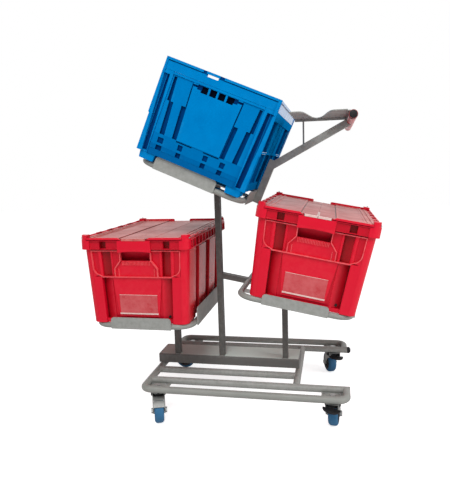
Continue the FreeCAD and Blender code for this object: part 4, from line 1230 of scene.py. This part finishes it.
def fold_body(bm):
    ys = both_ways({FOLD_POST_Y, FOLD_SIDE_END} | edges_of(HIGH_BAYS + LOW_BAY_RIBS))
    vs = (FOOT_TOP, FOLD_SKIRT_TOP, FOLD_BEAM_LOW, FOLD_BEAM_TOP, BAY_TOP, FOLD_RIM_LOW)
    # The bays and the skirt take painted shade by their depth
    for side in BOTH:
        add_relief(bm, ys, vs, fold_side_front, FOLD_SIDE_BACK, side_spot(FOLD_HALF_W, side),
                   {HIGH_BAY_DEEP: 1.0, LOW_BAY_DEEP: 0.8, FOLD_SKIRT_DEEP: 0.3})
    outer = [(178.0, FOOT_TOP), (195.5, FOOT_TOP), (195.5, 148.0), (FOLD_HALF_W + 2, 150.0)]
    outer += [(FOLD_HALF_W + 2, FOLD_RIM_LOW), (191.5, FOLD_RIM_LOW)]
    inner = [(COLUMN_IN, FOOT_TOP), (160.3, FOOT_TOP), (170.0, 284.0), (189.0, 284.0)]
    inner += [(189.5, FOLD_RIM_LOW), (COLUMN_IN, FOLD_RIM_LOW)]
    foot = [(132.0, 2.0), (134.0, 0.0), (180.0, 0.0), (182.0, 2.0)]
    foot += [(184.0, FOOT_TOP + 1), (130.0, FOOT_TOP + 1)]
    for su, sy in CORNERS:
        for outline in (outer, inner):
            prism(bm, [(su * a, b) for a, b in outline], sy * FOLD_HALF_D, sy * POST_BACK_D)
        prism(bm, [(su * a, b) for a, b in foot], sy * 215.0, sy * 288.0)
    # The sill takes painted shade
    sill = rectangle(-160.0, 160.0, FOOT_TOP, PANEL_LOW - 0.5)
    for sy in BOTH:
        painted_shade_prism(bm, sill, sy * (FOLD_HALF_D - SILL_FACE), sy * POST_BACK_D, "y", lambda u: 0.6)
    slab(bm, -190.0, 190.0, -290.0, 290.0, FOOT_TOP, FOOT_TOP + 6.0)


# Dark cores inside the corner columns: painted shade
def fold_columns(bm):
    four_corners(bm, rectangle(COLUMN_IN, 195.0, 270.0, 283.0), FOOT_TOP, FOLD_RIM_LOW)


def fold_rim_front(u, v):
    if RIM_SLOT[0] < u < RIM_SLOT[1] and RIM_SLOT_LOW < v < RIM_GROOVE_TOP:
        return None
    if v > RIM_GROOVE_TOP and in_any(u, RIM_NICKS):
        return RIM_NICK_DEEP
    return fold_rim_side_front(u, v)


def fold_rim_side_front(y, v):
    if v > RIM_GROOVE_TOP:
        return 0.0
    return RIM_GROOVE_DEEP if v > RIM_GROOVE_LOW else RIM_SKIRT_DEEP


def fold_rim_ends(bm):
    us = sorted({-FOLD_RIM_END_U, FOLD_RIM_END_U} | edges_of((RIM_SLOT,) + RIM_NICKS))
    vs = (FOLD_RIM_LOW, RIM_SLOT_LOW, RIM_GROOVE_LOW, RIM_GROOVE_TOP, FOLD_TOP)
    # The nicks and the groove take painted shade
    for end in BOTH:
        add_relief(bm, us, vs, fold_rim_front, FOLD_RIM_BACK, end_spot(RIM_HALF_D, end),
                   {RIM_NICK_DEEP: 1.0, RIM_GROOVE_DEEP: 0.8})
    four_corners(bm, corner_outline(RIM_HALF_W, RIM_HALF_D, 9.0, 7.0, 1.0), FOLD_RIM_LOW - 14.0, FOLD_TOP)


def fold_rim_sides(bm):
    vs = (FOLD_RIM_LOW, RIM_GROOVE_LOW, RIM_GROOVE_TOP, FOLD_TOP)
    # The groove takes painted shade
    for side in BOTH:
        add_relief(bm, (-FOLD_RIM_END_Y, FOLD_RIM_END_Y), vs, fold_rim_side_front, FOLD_RIM_BACK,
                   side_spot(RIM_HALF_W, side), {RIM_GROOVE_DEEP: 0.8})


def fold_side_edges(bm):
    for su, sy in CORNERS:
        slab(bm, su * 196.4, su * 198.0, sy * 277.0, sy * 274.5, 166.0, 268.0)
        slab(bm, su * 196.4, su * 197.8, sy * 278.0, sy * 150.0, 163.5, 166.0)
        slab(bm, su * 196.4, su * 197.8, sy * 262.0, sy * 170.0, 157.8, 159.6)


def folding_crate():
    moulded = crate_dresser("upper", "crate_blue")
    moulded("_side_edges", fold_side_edges, EDGE_HIGHLIGHT_BLUE, 0.4)
    moulded("_shell", fold_body, CRATE_BLUE, 1.2, stands_for="_body")
    moulded("_column_cores", fold_columns, SHADE_BLUE, 0.6)
    moulded("_rim_ends", fold_rim_ends, CRATE_BLUE, 1.2, stands_for="_rim")
    moulded("_rim_sides", fold_rim_sides, RIM_BLUE, 1.2)
    for side, end in (("_front", -1), ("_back", 1)):
        wall = side + "_wall"
        swing = wall + "_panel"
        moulded(side + "_panel", lambda bm: fold_end_panel(bm, end), CRATE_BLUE, 1.0, swing, wall)
        moulded(side + "_grip_pockets", lambda bm: grip_pockets(bm, end), SLOT_BLACK, 0.4, swing)


folding_crate()


# Castors
def wheel_profile(outer, inner, half, round_by):
    points = arc((outer - round_by, half - round_by), round_by, 90.0, 0.0, 5)
    points += arc((outer - round_by, -half + round_by), round_by, 0.0, -90.0, 5)
    return points + [(inner, -half), (inner, half)]


def tyre(bm):
    lathe(bm, wheel_profile(WHEEL_R, CORE_R, TREAD_W / 2, 10.5), 64, WHEEL_CENTRE)


def hub(bm):
    rim = [(CORE_R, 15.0), (CORE_R, -15.0), (CORE_R - 5, -15.0), (CORE_R - 8, -7.0)]
    rim += [(17.0, -6.0), (14.0, -12.0), (12.5, -19.0), (5.2, -19.0)]
    rim += [(5.2, 19.0), (12.5, 19.0), (14.0, 12.0), (17.0, 6.0)]
    rim += [(CORE_R - 8, 7.0), (CORE_R - 5, 15.0)]
    lathe(bm, rim, 64, WHEEL_CENTRE)
    for spoke in range(SPOKES):
        angle = math.radians(360.0 / SPOKES * spoke)
        ray = Vector((math.cos(angle), 0.0, math.sin(angle)))
        side = Vector((-ray.z, 0.0, ray.x)) * 1.8
        inner = Vector(WHEEL_CENTRE) + ray * 12.5
        outer = Vector(WHEEL_CENTRE) + ray * (CORE_R - 4.5)
        outline = [inner - side, outer - side, outer + side, inner + side]
        prism(bm, [(point.x, point.z) for point in outline], -12.5, 12.5)


def fork(bm, braked):
    wide = FORK_HALF + 1.0
    leg = [(-30.0, FORK_TOP), (20.0, FORK_TOP), (33.0, 92.0), (48.0, 54.0)]
    leg += arc((TRAIL, WHEEL_R), 12.0, 20.0, -200.0, 14)
    leg += [(17.0, 58.0), (3.0, 72.0), (-30.0, 86.0)]
    for side in BOTH:
        prism(bm, leg, side * FORK_HALF, side * (FORK_HALF + FORK_T))
    top = [(-30.0, -wide), (20.0, -wide), (27.0, -12.0), (27.0, 12.0), (20.0, wide), (-30.0, wide)]
    prism(bm, top, FORK_TOP - 4.0, FORK_TOP, "z")
    if not braked:
        hood = arc((TRAIL, WHEEL_R), 49.0, 35.0, 66.0, 12) + arc((TRAIL, WHEEL_R), 46.5, 66.0, 35.0, 12)
        prism(bm, hood, -wide, wide)
        bridge = [(25.5, 88.8), (26.0, 92.3), (56.5, 91.0), (55.0, 88.6)]
        prism(bm, bridge, -wide, wide)


def collar(bm):
    ring = [(23.8, 89.0), (27.5, 89.0), (27.8, 91.0), (27.0, 109.5), (25.5, 111.5), (23.8, 111.5)]
    lathe(bm, ring, 40, (0.0, 0.0, 0.0), "z")


def pedal(bm):
    plate = arc((-36.0, 0.0), 31.0, 95.0, 265.0, 20)
    prism(bm, plate, PEDAL_Z - 2.5, PEDAL_Z + 3.5, "z")
    slab(bm, -62.0, -33.0, -18.0, 18.0, PEDAL_Z - 2.5, PEDAL_Z + 1.5)
    for low, high in ((-19.0, -15.0), (15.0, 19.0)):
        lathe(bm, [(5.0, low), (5.0, high), (1.0, high), (1.0, low)], 20, (PEDAL_PIN_X, 0.0, PEDAL_Z))
    add_grown(bm, BLOCK_ROW, count=3, start=(-64.0, 0.0, PEDAL_Z + 3.7), step=(2.6, 0.0, 0.0),
              size=(1.2, 15.0, 1.2), finish=BLACK_PLASTIC)


# The pedal dips outward and hangs a little to one side
def pedal_lean():
    pin = Vector((PEDAL_PIN_X, 0.0, PEDAL_Z))
    tilt = Matrix.Rotation(math.radians(PEDAL_TILT), 4, "Y")
    droop = Matrix.Rotation(math.radians(PEDAL_DROOP), 4, "X")
    return Matrix.Translation(pin) @ tilt @ droop @ Matrix.Translation(-pin)


def castor(name):
    braked = CASTORS[name][3]
    place = castor_place(name)
    node = "castor_" + name
    wheel = node + "_wheel"
    swivel = node + "_swivel"
    dressed(node + "_tyre", tyre, place, TREAD_BLUE, wheel, "tread_blue", [wheel + "_tread"], crease=40.0)
    dressed(node + "_hub", hub, place, WHEEL_GREY, wheel, "wheel_grey", [wheel + "_core"], edge=0.7)
    dressed(node + "_fork_shell", lambda bm: fork(bm, braked), place, FORK_STEEL, swivel, "zinc_steel",
            [node + "_fork"], edge=1.0)
    dressed(node + "_collar", collar, place, BLACK_PLASTIC, swivel, "black_plastic", crease=50.0)
    if braked:
        brake = node + "_brake"
        dressed(node + "_pedal_shell", pedal, place @ pedal_lean(), BLACK_PLASTIC, brake, "black_plastic",
                [brake + "_pedal"], edge=0.8)


for castor_name in CASTORS:
    castor(castor_name)


# Post beam, welds and plate bolts of the base, and the ends of the handlebar
def in_mm(node_name):
    low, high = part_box(node_name)
    return tuple(low / MM), tuple(high / MM)


# The beam's sides and ends, in a darker grey: painted shade
def beam_sides(bm):
    (x0, y0, z0), (x1, y1, z1) = in_mm("base_post_beam")
    fold_z = z1 - BEAM_FOLD_R - TOP_SHEET_STEP
    under_z = z1 - BEAM_WALL - TOP_SHEET_STEP
    outline = [(y0, z0), (y0, fold_z)] + arc((y0 + BEAM_FOLD_R, fold_z), BEAM_FOLD_R, 180.0, 90.0, 5)
    outline += arc((y1 - BEAM_FOLD_R, fold_z), BEAM_FOLD_R, 90.0, 0.0, 5) + [(y1, z0), (y1 - BEAM_WALL, z0)]
    outline += [(y1 - BEAM_WALL, under_z), (y0 + BEAM_WALL, under_z), (y0 + BEAM_WALL, z0)]
    prism(bm, outline, x0, x1, "x")
    for end_x, reach in ((x0 + 0.2, BEAM_WALL), (x1 - 0.2, -BEAM_WALL)):
        slab(bm, end_x, end_x + reach, y0 + 0.2, y1 - 0.2, z0 + 0.2, z1 - 3.4)


# A thin pale sheet on the beam's top: painted light from above
def beam_top(bm):
    (x0, y0, z0), (x1, y1, z1) = in_mm("base_post_beam")
    slab(bm, x0 + 2.0, x1 - 2.0, y0 + 2.6, y1 - 2.6, z1 - 2 * TOP_SHEET_STEP, z1)


def weld_loop(bm, points):
    mesh = bpy.data.meshes.new("weld_path")
    mesh.from_pydata(points, [(index, (index + 1) % len(points)) for index in range(len(points))], [])
    add_grown(bm, WELD_BEAD, mesh, pitch=WELD_PITCH, radius=WELD_R, finish=FRAME_PAINT)


def ring_about_x(x, y, z, radius):
    angles = [math.radians(turn) for turn in range(0, 360, 15)]
    return [(x, y + radius * math.cos(angle), z + radius * math.sin(angle)) for angle in angles]


def frame_welds(bm):
    foot_z = in_mm("base_post_beam")[1][2]
    for post in ("left_post", "centre_post", "right_post"):
        low, high = in_mm(post)
        foot = rectangle(low[0], high[0], low[1], low[1] + POST_DEPTH)
        weld_loop(bm, [(x, y, foot_z) for x, y in foot])
    (x0, y0, z0), (x1, y1, z1) = in_mm("base_slats")
    radius = (z1 - z0) / 2
    for y in (y0 + radius, y1 - radius):
        for x in (x0 + 1.0, x1 - 1.0):
            weld_loop(bm, ring_about_x(x, y, z0 + radius, radius))


def plate_bolts(bm):
    for castor_spot in CASTORS.values():
        x, y = castor_spot[:2]
        for side in BOTH:
            add_grown(bm, BARREL_ROW, count=2, start=(x + side * BOLT_X, y - BOLT_Y, PLATE_TOP + 1.5),
                      step=(0.0, 2 * BOLT_Y, 0.0), radius=6.0, length=4.0, sides=6, finish=ZINC)


def bar_caps(bm):
    (x0, y0, z0), (x1, y1, z1) = in_mm("handlebar_end_caps")
    middle = ((x0 + x1) / 2, 0.0, (z0 + z1) / 2)
    cap = [(0.2, y0), (9.0, y0), (12.2, y0 + 1.2), (13.9, y0 + 4.0), (14.2, y0 + 8.0), (14.2, y0 + 29.0)]
    cap += [(13.7, y0 + 31.5), (0.2, y0 + 31.5)]
    lathe(bm, cap, 40, middle)
    lathe(bm, [(0.2, y1 - 2.9), (13.4, y1 - 2.9), (13.4, y1 - 1.2), (12.0, y1), (0.2, y1)], 40, middle)


def on_frame(name, draw, finish, slot, *stands_for, **edges):
    dressed(name, draw, STANDING, finish, "frame", slot, stands_for, **edges)


on_frame("base_post_beam_sides", beam_sides, BEAM_SHADED_PAINT, "frame_grey", "base_post_beam", edge=0.5)
on_frame("base_post_beam_top", beam_top, BEAM_LIT_PAINT, "frame_grey", edge=0.4)
on_frame("frame_welds", frame_welds, FRAME_PAINT, "frame_grey")
on_frame("castor_plate_bolts", plate_bolts, ZINC, "zinc_steel", edge=0.5)
on_frame("handlebar_cap_and_plug", bar_caps, BLACK_PLASTIC, "black_plastic", "handlebar_end_caps",
         crease=40.0)


# Finishes of the nodes that stay as they are
for subpart in frame["record"]["subparts"]:
    nodes[subpart["node"]].material_slots[0].material = SLOT_FINISH[subpart["material_slot"]]
# The posts and the tray arm take the darker grey: painted shade
for node_name in ("left_post", "centre_post", "right_post", "right_tray_arm"):
    nodes[node_name].material_slots[0].material = POST_SHADED_PAINT
nodes["castor_plates"].material_slots[0].material = FRAME_PAINT


# Floor
def floor_finish():
    paint = bpy.data.materials.new("floor_white")
    paint.use_nodes = True
    tree = paint.node_tree
    shader = set_inputs(tree.nodes["Principled BSDF"], base_color=(0.93, 0.93, 0.93, 1.0), roughness=0.8,
                        emission_color=(1.0, 1.0, 1.0, 1.0))
    shader.inputs["Specular IOR Level"].default_value = 0.1
    glow = new_node(tree, "ShaderNodeMapRange", to_max=FLOOR_GLOW)
    link(tree, tree.nodes.new("ShaderNodeLightPath"), "Is Camera Ray", glow, "Value")
    link(tree, glow, "Result", shader, "Emission Strength")
    return paint


def floor_slab(bm):
    slab(bm, -FLOOR_HALF, FLOOR_HALF, -FLOOR_HALF, FLOOR_HALF, FLOOR_LOW, FLOOR_TOP)


floor = new_piece("studio_floor", floor_slab, STANDING, floor_finish())


# Light
def room_light():
    world = bpy.data.worlds.new("studio")
    bpy.context.scene.world = world
    world.use_nodes = True
    tree = world.node_tree
    room = set_inputs(tree.nodes["Background"], color=(1.0, 1.0, 1.0, 1.0))
    strength = new_node(tree, "ShaderNodeMapRange", to_min=1.0, to_max=ROOM_LIGHT)
    link(tree, tree.nodes.new("ShaderNodeLightPath"), "Is Diffuse Ray", strength, "Value")
    link(tree, strength, "Result", room, "Strength")


def soft_light(name, spot, target, size, power):
    light = bpy.data.lights.new(name, "AREA")
    light.shape = "RECTANGLE"
    light.size = size
    light.size_y = size
    light.energy = power
    lamp = new_object(name, light)
    lamp.location = spot
    lamp.rotation_euler = (Vector(target) - Vector(spot)).to_track_quat("-Z", "Y").to_euler()


room_light()
soft_light("key", (-0.3, -2.5, 3.4), (0.0, 0.0, 0.6), 2.2, 88.0)
soft_light("side", (3.0, -1.0, 1.7), (0.0, 0.0, 0.7), 1.4, 45.0)
bpy.context.scene.view_settings.view_transform = "Standard"


# Camera
def photo_camera():
    right = Vector((math.cos(YAW), math.sin(YAW), 0.0))
    forward = Vector((-math.sin(YAW) * math.cos(PITCH), math.cos(YAW) * math.cos(PITCH), -math.sin(PITCH)))
    down = forward.cross(right)
    rolled_right = math.cos(ROLL) * right + math.sin(ROLL) * down
    rolled_down = -math.sin(ROLL) * right + math.cos(ROLL) * down
    turn = Matrix((rolled_right, -rolled_down, -forward)).transposed().to_4x4()
    lens = bpy.data.cameras.new("photo_camera")
    lens.sensor_fit = "VERTICAL"
    lens.sensor_height = SENSOR_HEIGHT
    lens.lens = SENSOR_HEIGHT * FOCAL_PIXELS / IMAGE_HEIGHT
    camera = new_object("photo_camera", lens)
    camera.matrix_world = Matrix.Translation(CAMERA_SPOT) @ turn
    bpy.context.scene.camera = camera


photo_camera()
